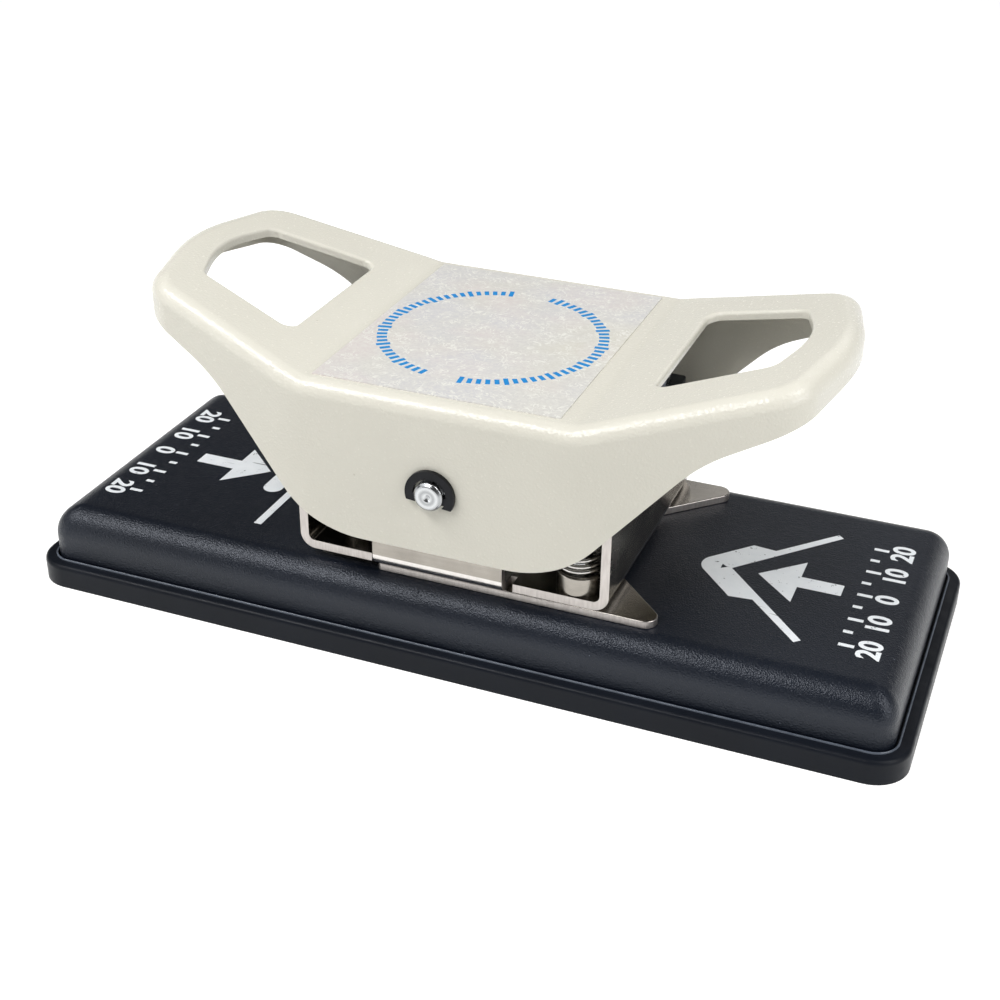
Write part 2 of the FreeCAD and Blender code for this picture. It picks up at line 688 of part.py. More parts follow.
clip_edge = size.clip_radius + size.overrun
mouth_corners = [(-clip_edge, size.pivot_height - clip_edge, 0), (clip_edge, size.pivot_height - clip_edge, 0),
                 (clip_edge, size.pivot_height - size.clip_mouth_drop_right, 0),
                 (-clip_edge, size.pivot_height - size.clip_mouth_drop_left, 0)]
for end, span in clip_spans.items():
    disc = rod(f"clip_disc_{end}", "clip_radius", span, pivot_line, "y")
    bore = rod(f"clip_bore_{end}", "clip_bore_radius", ("-pin_end", "pin_end"), pivot_line, "y")
    mouth = padded(f"clip_mouth_{end}", "XZ_Plane", [outline(mouth_corners)], "2 * pin_end", symmetric=True)
    prongs = [block(f"clip_prong_top_{end}", ("-clip_prong_width / 2", "clip_prong_width / 2"), span,
                    ("pivot_height", "pivot_height + clip_bore_radius + clip_prong_root")),
              block(f"clip_prong_sides_{end}", ("-clip_bore_radius - clip_prong_root",
                                                "clip_bore_radius + clip_prong_root"), span,
                    ("pivot_height - clip_prong_width", "pivot_height"))]
    groove_core = rod(f"clip_seat_{end}", "groove_radius", ("-pin_end", "pin_end"), pivot_line, "y")
    ring = cut(f"clip_ring_{end}", disc, bore, mouth)
    label(cut(f"clip_{end}", joined(f"clip_with_prongs_{end}", ring, *prongs), groove_core), f"e_clip_{end}")

# Rocker: pressed steel with a flat centre and two wings that rise and narrow to rounded ends. Its
# skirt is deep at the pivot, sweeps up to the wings and runs round their tips.

wing_slope = math.tan(math.radians(size.wing_angle))


def wing_height(reach):
    """The height of a wing's flat top at a distance from the pivot."""
    return size.rocker_top + (reach - size.crease_reach) * wing_slope


def plan_corners():
    """The rocker seen from above."""
    corner_reach = size.wing_nose_reach - size.wing_corner_setback
    corner_half_width = size.rocker_half_width * size.wing_corner_width_share
    right = [(size.waist_reach, -size.rocker_half_width, size.waist_radius),
             (corner_reach, -corner_half_width, size.wing_corner_radius),
             (size.wing_nose_reach, 0, size.wing_nose_radius),
             (corner_reach, corner_half_width, size.wing_corner_radius),
             (size.waist_reach, size.rocker_half_width, size.waist_radius)]
    left = [(-x, y, radius) for x, y, radius in reversed(right)]
    return right + left


def top_corners(drop):
    """The rocker's upper profile from right to left, lowered square to itself by a drop."""
    end = size.wing_nose_reach + size.overrun
    crease = size.crease_reach + drop * math.tan(math.radians(size.wing_angle) / 2)
    top = size.rocker_top - drop
    tip = top + (end - crease) * wing_slope
    radius = size.crease_radius + drop
    return [(end, tip, 0), (crease, top, radius), (-crease, top, radius), (-end, tip, 0)]


def skirt_corners():
    """The skirt's lower edge from left to right, its knee and tip set down from the wing's top."""
    wing = size.wing_nose_reach - size.crease_reach
    knee_reach = size.crease_reach + wing * size.skirt_knee_share
    knee_height = wing_height(knee_reach) - size.skirt_knee_depth
    tip_height = wing_height(size.wing_nose_reach) - size.skirt_tip_depth
    rise = (tip_height - knee_height) / (size.wing_nose_reach - knee_reach)
    half = [(size.skirt_corner_reach, size.skirt_bottom, size.skirt_corner_radius),
            (knee_reach, knee_height, size.skirt_knee_radius),
            (size.wing_nose_reach + size.overrun, tip_height + rise * size.overrun, 0)]
    return [(-x, y, radius) for x, y, radius in reversed(half)] + half


def rocker_form(name, drop, lower_edge, edge_radius):
    """The rocker's outer form or its cavity: a side profile trimmed to the plan and rounded on top."""
    body = padded(name, "XZ_Plane", [outline(lower_edge + top_corners(drop))],
                  "2 * (rocker_half_width + overrun)", symmetric=True)
    margin = 2 * size.overrun
    outside = rectangle(size.wing_nose_reach + margin, size.rocker_half_width + margin, 0)
    plan = inset(plan_corners(), drop)
    trim = body.newObject("PartDesign::Pocket", name + "_trim")
    trim.Profile = sketch_on(body, name + "_plan", "XY_Plane", [outline(outside), outline(plan)])
    trim.Type = "ThroughAll"
    trim.Reversed = True
    before = body.Shape.Volume
    doc.recompute()
    if not trim.Shape.Volume < before:
        raise SystemExit(name + " wasn't trimmed to its plan")

    def on_top(middle, edge):
        crease = size.crease_reach + drop * math.tan(math.radians(size.wing_angle) / 2)
        bend = (size.crease_radius + drop) * math.tan(math.radians(size.wing_angle) / 2)
        height = size.rocker_top - drop + max(0.0, abs(middle.x) - crease) * wing_slope
        ends = [vertex.Point for vertex in edge.Vertexes]
        across = len(ends) == 2 and abs(ends[0].x - ends[1].x) < tolerance
        near = bend * math.tan(math.radians(size.wing_angle)) + tolerance
        return abs(middle.z - height) < near and not (across and abs(abs(ends[0].x) - crease) < 2 * bend)

    return rounded(body, name + "_edges", edge_radius, on_top)


rocker_outside = rocker_form("rocker_outside", 0.0, skirt_corners(), "rocker_edge_radius")
cavity_end = size.wing_nose_reach + size.overrun
cavity_bottom = size.skirt_bottom - size.overrun
cavity_floor = [(-cavity_end, cavity_bottom, 0), (cavity_end, cavity_bottom, 0)]
rocker_cavity = rocker_form("rocker_cavity", size.rocker_sheet, cavity_floor,
                            "rocker_edge_radius - rocker_sheet")


grip_half_width = size.rocker_half_width * size.grip_inner_width_share
grip_end = size.wing_nose_reach - size.grip_nose_setback


def grip_corners(sign, shift, shortening):
    """The finger opening in one wing, wide at its inner edge and narrowing to a rounded end."""
    upper = [(size.grip_inner_reach, grip_half_width, size.grip_inner_radius),
             (size.wing_nose_reach - size.grip_outer_setback - shortening,
              size.rocker_half_width * size.grip_outer_width_share, size.grip_outer_radius),
             (grip_end - shortening, 0, size.grip_nose_radius)]
    lower = [(x, -y, radius) for x, y, radius in reversed(upper[:2])]
    return [(sign * x, y + shift, radius) for x, y, radius in (upper + lower)[::-sign]]


grip_outlines = {"slot": grip_corners(-1, 0, 0),
                 "corner": grip_corners(1, size.corner_grip_shift, size.corner_grip_shortening)}
grips = [padded(f"grip_{side}", "XY_Plane", [outline(corners)], "rocker_top + overrun",
                "rocker_top - rocker_sheet - overrun") for side, corners in grip_outlines.items()]
rocker_bore = rod("rocker_bore", "pin_radius + running_clearance", ("-pin_end", "pin_end"), pivot_line, "y")
rocker_cut = cut("rocker_cut", rocker_outside, rocker_cavity, rocker_bore, *grips)
doc.recompute()
rocker_softened = doc.addObject("Part::Fillet", "rocker_softened")
rocker_softened.Base = rocker_cut
grip_rims = []
for number, edge in enumerate(rocker_cut.Shape.Edges, start=1):
    middle = edge.valueAt((edge.FirstParameter + edge.LastParameter) / 2)
    on_top = abs(middle.z - wing_height(abs(middle.x))) < tolerance
    in_reach = size.grip_inner_reach - tolerance < abs(middle.x) < grip_end + tolerance
    if on_top and in_reach and abs(middle.y) < grip_half_width + size.corner_grip_shift + tolerance:
        grip_rims.append((number, size.grip_edge_radius, size.grip_edge_radius))
rocker_softened.Edges = grip_rims
lever_shell = label(rocker_softened, "lever_shell")

label_plate = block("label_plate", ("-label_left", "label_right"), ("-label_half_width", "label_half_width"),
                    ("rocker_top", "rocker_top + label_thickness"))
lever_label = label(label_plate, "lever_label")

# Saddle: a channel welded under the rocker's flat centre. Its two cheeks carry the cross pins
# that press each punch holder down and lift it again.

saddle_top = size.rocker_top - size.rocker_sheet
cheek = size.saddle_half_width
saddle_section = [(-cheek, size.saddle_bottom, 0), (-cheek + size.saddle_sheet, size.saddle_bottom, 0),
                  (-cheek + size.saddle_sheet, saddle_top - size.saddle_sheet, size.saddle_sheet / 2),
                  (cheek - size.saddle_sheet, saddle_top - size.saddle_sheet, size.saddle_sheet / 2),
                  (cheek - size.saddle_sheet, size.saddle_bottom, 0), (cheek, size.saddle_bottom, 0),
                  (cheek, saddle_top, size.saddle_sheet), (-cheek, saddle_top, size.saddle_sheet)]
saddle_channel = padded("saddle_channel", "YZ_Plane", [outline(saddle_section)], "2 * saddle_reach",
                        "-saddle_reach")
rounded(saddle_channel, "saddle_ends", "saddle_end_radius",
        lambda middle, edge: (abs(middle.z - size.saddle_bottom) < tolerance
                              and edge.Length < 2 * size.saddle_sheet))
saddle_bores = [rod(f"saddle_bore_{side}", "lift_pin_radius", ("-rocker_half_width", "rocker_half_width"),
                    (f"{sign} * lift_arm", "lift_height"), "y")
                for side, sign in (("slot", -1), ("corner", 1))]
lever_saddle = label(cut("saddle_cut", saddle_channel, *saddle_bores), "lever_saddle")

for side, sign in (("slot", -1), ("corner", 1)):
    x = f"{sign} * lift_arm"
    shank = rod(f"lift_shank_{side}", "lift_pin_radius", ("-saddle_half_width", "saddle_half_width"),
                (x, "lift_height"), "y")
    heads = [cone(f"lift_head_rear_{side}", "lift_pin_radius + lift_pin_head", "lift_pin_radius",
                  ("saddle_half_width", "saddle_half_width + lift_pin_head"), (x, "lift_height"), "y"),
             cone(f"lift_head_front_{side}", "lift_pin_radius", "lift_pin_radius + lift_pin_head",
                  ("-saddle_half_width - lift_pin_head", "-saddle_half_width"), (x, "lift_height"), "y")]
    label(joined(f"lift_pin_{side}_whole", shank, *heads), f"{side}_cross_pin")

# Punch holders: each slides on two guide posts. A tongue on top has a long slot for the cross
# pin, so that the pin's arc doesn't pull the holder sideways.

bar = "(post_radius + holder_post_land)"
slot_holder_plate = block("slot_holder_plate",
                          (f"-slot_post_reach - {bar}", "-slot_reach + slot_width / 2 + holder_land"),
                          (f"-slot_post_half_spacing - {bar}", f"slot_post_half_spacing + {bar}"),
                          ("holder_bottom", "holder_top"))
corner_holder_bar = block("corner_holder_bar", (f"corner_post_reach - {bar}", f"corner_post_reach + {bar}"),
                          (f"-corner_post_half_spacing - {bar}", f"corner_post_half_spacing + {bar}"),
                          ("holder_bottom", "holder_top"))
corner_holder_arm = block("corner_holder_arm", ("corner_punch_back - holder_land", "corner_post_reach"),
                          ("-corner_punch_half_width - holder_arm_land",
                           "corner_punch_half_width + holder_arm_land"),
                          ("holder_bottom", "holder_top"))


def upright_edges(feature, radius):
    """Every vertical edge of a feature, for a Part fillet of one radius."""
    listed = []
    for number, edge in enumerate(feature.Shape.Edges, start=1):
        ends = [vertex.Point for vertex in edge.Vertexes]
        if len(ends) == 2 and math.hypot(ends[0].x - ends[1].x, ends[0].y - ends[1].y) < tolerance:
            listed.append((number, radius, radius))
    return listed


def softened(name, base, radius):
    """A feature with its upright edges rounded."""
    doc.recompute()
    feature = doc.addObject("Part::Fillet", name)
    feature.Base = base
    feature.Edges = upright_edges(base, radius)
    return feature


corner_holder_flat = joined("corner_holder_flat", corner_holder_bar, corner_holder_arm)
holder_blanks = {
    "slot": softened("slot_holder_blank", slot_holder_plate, size.holder_edge_radius),
    "corner": softened("corner_holder_blank", corner_holder_flat, size.holder_edge_radius),
}
holder_span = ("holder_bottom - overrun", "holder_top + overrun")
for side, sign, section in (("slot", -1, slot_section), ("corner", 1, corner_section)):
    middle_x = f"{sign} * lift_arm"
    tongue = block(f"{side}_tongue", (f"{middle_x} - tongue_half_length", f"{middle_x} + tongue_half_length"),
                   ("-tongue_half_width", "tongue_half_width"), ("holder_top", "tongue_top"))
    doc.recompute()
    crown = doc.addObject("Part::Fillet", f"{side}_tongue_crown")
    crown.Base = tongue
    crown.Edges = [(int(name[4:]), size.tongue_crown_radius, size.tongue_crown_radius) for name in edge_names(
        tongue, lambda middle, edge: abs(middle.z - size.tongue_top) < tolerance
        and abs(edge.Length - 2 * size.tongue_half_width) < tolerance)]
    pin_gap = "lift_pin_radius + slide_clearance"
    slide_reach = f"(tongue_slot_half_length - {pin_gap})"
    slot_cutters = [rod(f"{side}_tongue_slot_end_{k}", pin_gap, ("-rocker_half_width", "rocker_half_width"),
                        (f"{middle_x} - {sign} * slide_clearance + {k} * {slide_reach}", "lift_height"), "y")
                    for k in (-1, 1)]
    slot_cutters.append(block(f"{side}_tongue_slot_middle",
                              (f"{middle_x} - {sign} * slide_clearance - {slide_reach}",
                               f"{middle_x} - {sign} * slide_clearance + {slide_reach}"),
                              ("-rocker_half_width", "rocker_half_width"),
                              (f"lift_height - ({pin_gap})", f"lift_height + {pin_gap}")))
    shank_hole = padded(f"{side}_shank_hole", "XY_Plane", [outline(section(0.0))],
                        "holder_thickness + overrun", "holder_bottom - overrun")
    holes = [rod(f"{side}_holder_bore_{name}", "post_radius + running_clearance", holder_span, (x, y))
             for name, x, y in post_places() if name.startswith(side)]
    label(cut(f"{side}_holder_cut", joined(f"{side}_holder_whole", holder_blanks[side], crown),
              shank_hole, *slot_cutters, *holes), f"{side}_punch_holder")

# Punches: hardened blades whose shanks are held in the holders. The slot punch has a shallow
# roof across its tip, so that it starts to cut at its two ends.

slot_blade = padded("slot_blade", "XY_Plane", [outline(slot_section(0.0))], "holder_top - punch_tip",
                    "punch_tip")
roof = [(-size.slot_length / 2 - size.overrun, size.punch_tip - size.overrun, 0),
        (size.slot_length / 2 + size.overrun, size.punch_tip - size.overrun, 0),
        (size.slot_length / 2, size.punch_tip, 0), (0, size.punch_tip + size.slot_shear, 0),
        (-size.slot_length / 2, size.punch_tip, 0)]
roof_cutter = padded("roof_cutter", "YZ_Plane", [outline(roof)], "2 * (slot_width + overrun)",
                     "-slot_reach - slot_width - overrun")
label(cut("slot_blade_cut", slot_blade, roof_cutter), "slot_punch_blade")
corner_blade = padded("corner_blade", "XY_Plane", [outline(corner_section(0.0))], "holder_top - punch_tip",
                      "punch_tip")
label(corner_blade, "corner_punch_blade")

# Guide posts and collars: each post is riveted into the frame's floor, and a collar round its
# foot lifts the spring's seat.

for name, x, y in post_places():
    shank = rod(f"{name}_shank", "post_radius", ("frame_bottom", "post_top - post_tip_chamfer"), (x, y))
    tip = cone(f"{name}_tip", "post_radius", "post_radius - post_tip_chamfer",
               ("post_top - post_tip_chamfer", "post_top"), (x, y))
    label(joined(f"{name}_whole", shank, tip), name)
    collar_name = name.replace("post", "collar")
    ring = rod(f"{collar_name}_ring", "collar_radius", ("floor_top", "collar_top - collar_chamfer"), (x, y))
    rim = cone(f"{collar_name}_rim", "collar_radius", "collar_radius - collar_chamfer",
               ("collar_top - collar_chamfer", "collar_top"), (x, y))
    bore = rod(f"{collar_name}_bore", "post_radius", frame_span, (x, y))
    label(cut(f"{collar_name}_cut", joined(f"{collar_name}_whole", ring, rim), bore), collar_name)

# Return springs: open coils between each collar and its holder. Both ends turn upright and stand
# square on what they press.

COIL_TURNS = 6
CLIMB_STEPS = 8
POINTS_PER_TURN = 48
coil_radius = size.collar_radius - size.spring_wire / 2


def biarc(p, t, q, u):
    """Two arcs that leave p along t and reach q along u, each as its end and middle points.

    The join is the midpoint of two tangent handles of equal length d, where
    d solves 2 (1 - t.u) d^2 + 2 v.(t + u) d - v.v = 0 for the chord v.
    """
    chord = q - p
    linear = chord.dot(t + u)
    squared = 2 * (1 - t.dot(u))
    handle = (-linear + math.sqrt(linear * linear + squared * chord.dot(chord))) / squared
    first, second = p + t * handle, q - u * handle
    join = (first + second) * 0.5
    return [Part.Arc(a, arc_middle(a, corner, b), b)
            for a, corner, b in ((p, first, join), (join, second, q))]


def arc_middle(a, corner, b):
    """The middle of the arc from a to b whose end tangents meet at a corner."""
    centre = (a + b) * 0.5
    towards = corner - centre
    half_chord = a.distanceToPoint(b) / 2
    tangent_angle = math.atan2(towards.Length, half_chord)
    return centre + towards.normalize() * (half_chord * math.tan(tangent_angle / 2))


def coil_path():
    """A spring's centre line: upright end, bend, turns as biarcs of half a turn, bend, upright end."""
    straight, bend = size.spring_wire, size.spring_bend
    free = size.holder_bottom - size.collar_top - 2 * straight
    # The climb angle solves: turns take what the two quarter bends leave.
    climb = 0.0
    for i in range(CLIMB_STEPS):
        climb = math.atan2(free - 2 * bend * math.cos(climb), 2 * math.pi * coil_radius * COIL_TURNS)
    rise = 2 * math.pi * coil_radius * math.tan(climb)
    start_z = size.collar_top + straight + bend * math.cos(climb)

    def on_coil(turn):
        angle = 2 * math.pi * turn
        return Vector(coil_radius * math.cos(angle), coil_radius * math.sin(angle), start_z + rise * turn)

    def tangent(turn):
        angle = 2 * math.pi * turn
        return Vector(-math.sin(angle) * math.cos(climb), math.cos(angle) * math.cos(climb), math.sin(climb))

    def bend_arc(turn, way):
        """A quarter bend from upright to the coil's tangent, before its start or after its end."""
        end, along = on_coil(turn), tangent(turn) * way
        flat = Vector(along.x, along.y, 0).normalize()
        inward = flat * math.sin(climb) - Vector(0, 0, way) * math.cos(climb)
        centre = end + inward * bend
        foot = centre - flat * bend
        half = ((end - centre).normalize() + (foot - centre).normalize()).normalize()
        return foot, Part.Arc(foot, centre + half * bend, end)

    foot, first_bend = bend_arc(0, 1)
    edges = [Part.LineSegment(foot - Vector(0, 0, straight), foot), first_bend]
    steps = 2 * COIL_TURNS
    for step in range(steps):
        edges += biarc(on_coil(step / 2), tangent(step / 2), on_coil((step + 1) / 2), tangent((step + 1) / 2))
    crown, last_bend = bend_arc(COIL_TURNS, -1)
    edges += [last_bend, Part.LineSegment(crown, crown + Vector(0, 0, straight))]
    return edges


def self_gap(wire):
    """Least distance between two points of a coil that lie half a turn or more apart, less the wire."""
    points = wire.discretize(Number=COIL_TURNS * POINTS_PER_TURN)
    apart = POINTS_PER_TURN // 2
    pairs = ((a, b) for i, a in enumerate(points) for b in points[i + apart:])
    return min(a.distanceToPoint(b) for a, b in pairs) - size.spring_wire


for name, x, y in post_places():
    path = Part.Wire([edge.toShape() for edge in coil_path()])
    first = path.Edges[0]
    start = first.valueAt(first.FirstParameter)
    circle = Part.Wire(Part.Circle(start, Vector(0, 0, 1), size.spring_wire / 2).toShape())
    coil = doc.addObject("Part::Feature", name.replace("post", "coil"))
    coil.Shape = path.makePipeShell([circle], True, False)
    bind(coil, Placement__Base__x=x, Placement__Base__y=y)
    label(coil, name.replace("post", "spring"))
    print(name.replace("post", "spring"), "least gap between turns", round(self_gap(path), 3))

doc.recompute()
failed = [item.Name for item in doc.Objects if {"Invalid", "Error"} & set(item.State)]
bad = [piece.Label for piece in pieces
       if piece.Shape.isNull() or not piece.Shape.isValid() or not piece.Shape.Solids]
if failed or bad:
    raise SystemExit(f"failed features {failed}, bad pieces {bad}")
for piece in pieces:
    piece.Shape.exportStep(f"parts/{piece.Label}.step")
    print(piece.Label, len(piece.Shape.Solids), "solids", round(piece.Shape.Volume, 1), "mm3")
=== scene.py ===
import json
import math

import bmesh
import bpy
import numpy as np
from mathutils import Matrix, Vector

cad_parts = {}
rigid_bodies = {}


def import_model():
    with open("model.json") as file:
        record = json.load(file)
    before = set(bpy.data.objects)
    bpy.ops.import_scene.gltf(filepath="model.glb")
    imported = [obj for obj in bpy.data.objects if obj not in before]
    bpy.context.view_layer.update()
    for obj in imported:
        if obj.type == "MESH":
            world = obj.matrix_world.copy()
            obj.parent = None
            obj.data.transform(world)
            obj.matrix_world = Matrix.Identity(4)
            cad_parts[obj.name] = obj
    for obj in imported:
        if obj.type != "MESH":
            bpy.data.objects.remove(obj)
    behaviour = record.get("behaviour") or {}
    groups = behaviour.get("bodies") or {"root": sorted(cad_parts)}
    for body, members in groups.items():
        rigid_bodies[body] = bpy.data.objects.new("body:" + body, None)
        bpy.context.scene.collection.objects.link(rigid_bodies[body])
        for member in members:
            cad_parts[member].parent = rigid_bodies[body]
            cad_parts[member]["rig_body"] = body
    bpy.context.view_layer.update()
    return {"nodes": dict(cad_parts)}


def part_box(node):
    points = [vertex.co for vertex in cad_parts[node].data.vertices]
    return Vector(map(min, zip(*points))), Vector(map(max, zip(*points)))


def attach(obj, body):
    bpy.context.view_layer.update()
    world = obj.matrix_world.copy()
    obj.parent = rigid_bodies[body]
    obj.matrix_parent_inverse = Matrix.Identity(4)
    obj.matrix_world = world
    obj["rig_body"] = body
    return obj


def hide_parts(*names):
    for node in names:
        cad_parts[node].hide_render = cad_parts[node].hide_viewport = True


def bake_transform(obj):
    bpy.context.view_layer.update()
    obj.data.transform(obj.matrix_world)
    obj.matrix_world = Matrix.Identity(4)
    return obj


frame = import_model()

# Camera
# It stands above the front, turned a little to the left, at the place, tilt and lens that the
# base's corners, edges and printed marks give.
CAMERA_PLACE = (0.116493, -0.294234, 0.198753)
CAMERA_YAW, CAMERA_PITCH, CAMERA_ROLL = (math.radians(turn) for turn in (21.598, 29.172, 0.629))
camera = bpy.data.objects.new("camera", bpy.data.cameras.new("camera"))
camera.data.lens = 57.736
camera.data.sensor_width = 36.0
camera.data.clip_start = 0.01
camera.matrix_world = (Matrix.Translation(CAMERA_PLACE) @ Matrix.Rotation(CAMERA_YAW, 4, "Z")
                       @ Matrix.Rotation(math.pi / 2 - CAMERA_PITCH, 4, "X")
                       @ Matrix.Rotation(CAMERA_ROLL, 4, "Z"))
bpy.context.collection.objects.link(camera)
bpy.context.scene.camera = camera
bpy.context.scene.view_settings.view_transform = "Standard"

# Lamps
# Six soft boxes stand round the table: a long key lamp and a wide one above the front left, a
# low lamp at each side, a fill lamp at the right and one behind that draws the far edges.
LAMP_AIM = Vector((0, 0, 0.03))


def soft_box(name, place, width, height, radiance):
    """A rectangular lamp turned to the object's middle. Its power is pi times its area times its
    radiance."""
    data = bpy.data.lights.new(name, "AREA")
    data.shape, data.size, data.size_y = "RECTANGLE", width, height
    data.energy = math.pi * width * height * radiance
    lamp = bpy.data.objects.new(name, data)
    lamp.location = place
    lamp.rotation_euler = (LAMP_AIM - lamp.location).to_track_quat("-Z", "Y").to_euler()
    lamp.visible_camera = False
    bpy.context.collection.objects.link(lamp)


soft_box("key_lamp", (-0.26, -0.30, 0.62), 0.60, 0.13, 12.5)
soft_box("sky_lamp", (-0.50, -0.26, 0.52), 0.50, 0.50, 1.3)
soft_box("side_lamp", (-0.52, -0.42, 0.14), 0.20, 0.12, 3.0)
soft_box("fill_lamp", (0.40, -0.05, 0.55), 0.24, 0.24, 6.5)
soft_box("right_lamp", (0.36, -0.10, 0.17), 0.20, 0.12, 4.5)
soft_box("back_lamp", (0.10, 0.66, 0.42), 0.50, 0.16, 1.2)

# Room and floor
# A white room and a pale matt floor, which keeps the object's shadow. The camera sees them white,
# and what mirrors them sees white walls under a dim ceiling.


def linear(code):
    """The linear colour of an sRGB hex code: each channel c becomes ((c + 0.055) / 1.055) ** 2.4
    above 0.04045, and c / 12.92 below."""
    channels = np.array([int(code[i:i + 2], 16) for i in (1, 3, 5)]) / 255
    return (*np.where(channels > 0.04045, ((channels + 0.055) / 1.055) ** 2.4, channels / 12.92),
            1.0)


def add(tree, kind, inputs=None, **settings):
    """One shader node with its settings. An input is a value, or another node's output to link."""
    node = tree.nodes.new(kind)
    for name, value in settings.items():
        setattr(node, name, value)
    for name, value in (inputs or {}).items():
        if isinstance(value, bpy.types.NodeSocket):
            tree.links.new(value, node.inputs[name])
        else:
            node.inputs[name].default_value = value
    return node


def seen_plainly(tree):
    """1 for a camera, mirror or glass ray, and 0 for the rays that carry light."""
    path = add(tree, "ShaderNodeLightPath")
    either = add(tree, "ShaderNodeMath", {0: path.outputs["Is Camera Ray"],
                                          1: path.outputs["Is Glossy Ray"]}, operation="MAXIMUM")
    return add(tree, "ShaderNodeMath", {0: either.outputs[0],
                                        1: path.outputs["Is Transmission Ray"]},
               operation="MAXIMUM").outputs[0]


ROOM_LIGHT, CEILING = 0.34, 0.05
WALL_TOP, CEILING_FOOT = 0.03, 0.22
world = bpy.data.worlds.new("white_room")
world.use_nodes = True
bpy.context.scene.world = world
room = world.node_tree
# What a mirror ray meets depends on its height, the sine of its elevation: white wall low down and
# dim ceiling above. The camera's own rays meet white everywhere.
bearing = add(room, "ShaderNodeTexCoord").outputs["Generated"]
sight = add(room, "ShaderNodeSeparateXYZ", {"Vector": bearing})
paint = add(room, "ShaderNodeMapRange", {"Value": sight.outputs["Z"], "From Min": WALL_TOP,
                                         "From Max": CEILING_FOOT, "To Min": 1.0,
                                         "To Max": CEILING})
by_camera = add(room, "ShaderNodeLightPath").outputs["Is Camera Ray"]
backdrop = add(room, "ShaderNodeMath", {0: by_camera, 1: paint.outputs[0]}, operation="MAXIMUM")
room_strength = add(room, "ShaderNodeMapRange", {"Value": seen_plainly(room), "To Min": ROOM_LIGHT,
                                                 "To Max": backdrop.outputs[0]})
room.nodes["Background"].inputs["Color"].default_value = linear("#ffffff")
room.links.new(room_strength.outputs[0], room.nodes["Background"].inputs["Strength"])

FLOOR_HALF, FLOOR_DROP, FLOOR_GLOW = 4.0, 0.00005, 0.66
floor_mesh = bpy.data.meshes.new("floor")
floor_mesh.from_pydata([(x * FLOOR_HALF, y * FLOOR_HALF, -FLOOR_DROP)
                        for x, y in ((-1, -1), (1, -1), (1, 1), (-1, 1))], [], [(0, 1, 2, 3)])
floor = bpy.data.objects.new("floor", floor_mesh)
bpy.context.collection.objects.link(floor)
floor_finish = bpy.data.materials.new("matt_white_paper")
floor_finish.use_nodes = True
paper = floor_finish.node_tree
paper_shader = paper.nodes["Principled BSDF"]
paper_shader.inputs["Base Color"].default_value = linear("#cfcfcd")
paper_shader.inputs["Roughness"].default_value = 1.0
paper_shader.inputs["Specular IOR Level"].default_value = 0.0
paper_shader.inputs["Emission Color"].default_value = linear("#ffffff")
paper_glow = add(paper, "ShaderNodeMapRange", {"Value": seen_plainly(paper), "To Max": FLOOR_GLOW})
paper.links.new(paper_glow.outputs[0], paper_shader.inputs["Emission Strength"])
floor_mesh.materials.append(floor_finish)

# Chip tray
# The pan under the base, injection moulded in black ABS. It catches the chips, and its rim shows
# as a ledge round the housing with a fine raised lip along the seam.


def surface(name, roughness, metallic=0.0, specular=0.5):
    """A new finish, with its shader and the Object coordinates that its patterns read."""
    made = bpy.data.materials.new(name)
    made.use_nodes = True
    shader = made.node_tree.nodes["Principled BSDF"]
    shader.inputs["Roughness"].default_value = roughness
    shader.inputs["Metallic"].default_value = metallic
    shader.inputs["Specular IOR Level"].default_value = specular
    place = add(made.node_tree, "ShaderNodeTexCoord").outputs["Object"]
    return made, made.node_tree, shader, place


def per(grain):
    """The pattern scale whose grains are that many millimetres across."""
    return 1000.0 / grain


MICROMETRE = 6
FLAT_ANGLE, SHARP_ANGLE, RIM_ANGLE = (math.radians(angle) for angle in (0.2, 28, 35))


def dressed(node, finish, edge=0.0, others=()):
    """A copy of one CAD piece with its loose triangles joined and flat faces made whole, its rims
    broken by a small bevel, and its normals taken from its large faces. others are pairs: a
    function that tells, from the faces' middles and normals, which of them differ, and their
    finish."""
    source = frame["nodes"][node].data
    points = np.empty(len(source.vertices) * 3, np.float32)
    source.vertices.foreach_get("co", points)
    points = np.round(points.reshape(-1, 3).astype(float), MICROMETRE)
    places, index = np.unique(points, axis=0, return_inverse=True)
    corners = np.empty(len(source.loops), np.int32)
    source.loops.foreach_get("vertex_index", corners)
    triangles = index.reshape(-1)[corners].reshape(-1, 3)
    whole = (triangles != np.roll(triangles, 1, axis=1)).all(axis=1)
    mesh = bpy.data.meshes.new(node + "_finished")
    mesh.from_pydata(places, [], triangles[whole])
    flat = bmesh.new()
    flat.from_mesh(mesh)
    bmesh.ops.dissolve_limit(flat, angle_limit=FLAT_ANGLE, verts=flat.verts, edges=flat.edges)
    flat.to_mesh(mesh)
    flat.free()
    mesh.shade_smooth()
    mesh.set_sharp_from_angle(angle=SHARP_ANGLE)
    mesh.materials.append(finish)
    middles, normals = np.empty((2, len(mesh.polygons) * 3))
    mesh.polygons.foreach_get("center", middles)
    mesh.polygons.foreach_get("normal", normals)
    kinds = np.zeros(len(mesh.polygons), np.int32)
    for kind, (differ, other) in enumerate(others, 1):
        mesh.materials.append(other)
        kinds[differ(middles.reshape(-1, 3), normals.reshape(-1, 3))] = kind
    mesh.polygons.foreach_set("material_index", kinds)
    piece = bpy.data.objects.new(node + "_finished", mesh)
    bpy.context.collection.objects.link(piece)
    if edge:
        rim = piece.modifiers.new("broken_edge", "BEVEL")
        rim.width, rim.segments, rim.limit_method, rim.angle_limit = edge, 2, "ANGLE", RIM_ANGLE
    piece.modifiers.new("large_faces", "WEIGHTED_NORMAL").keep_sharp = True
    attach(piece, frame["nodes"][node]["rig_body"])
    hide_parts(node)
    return piece


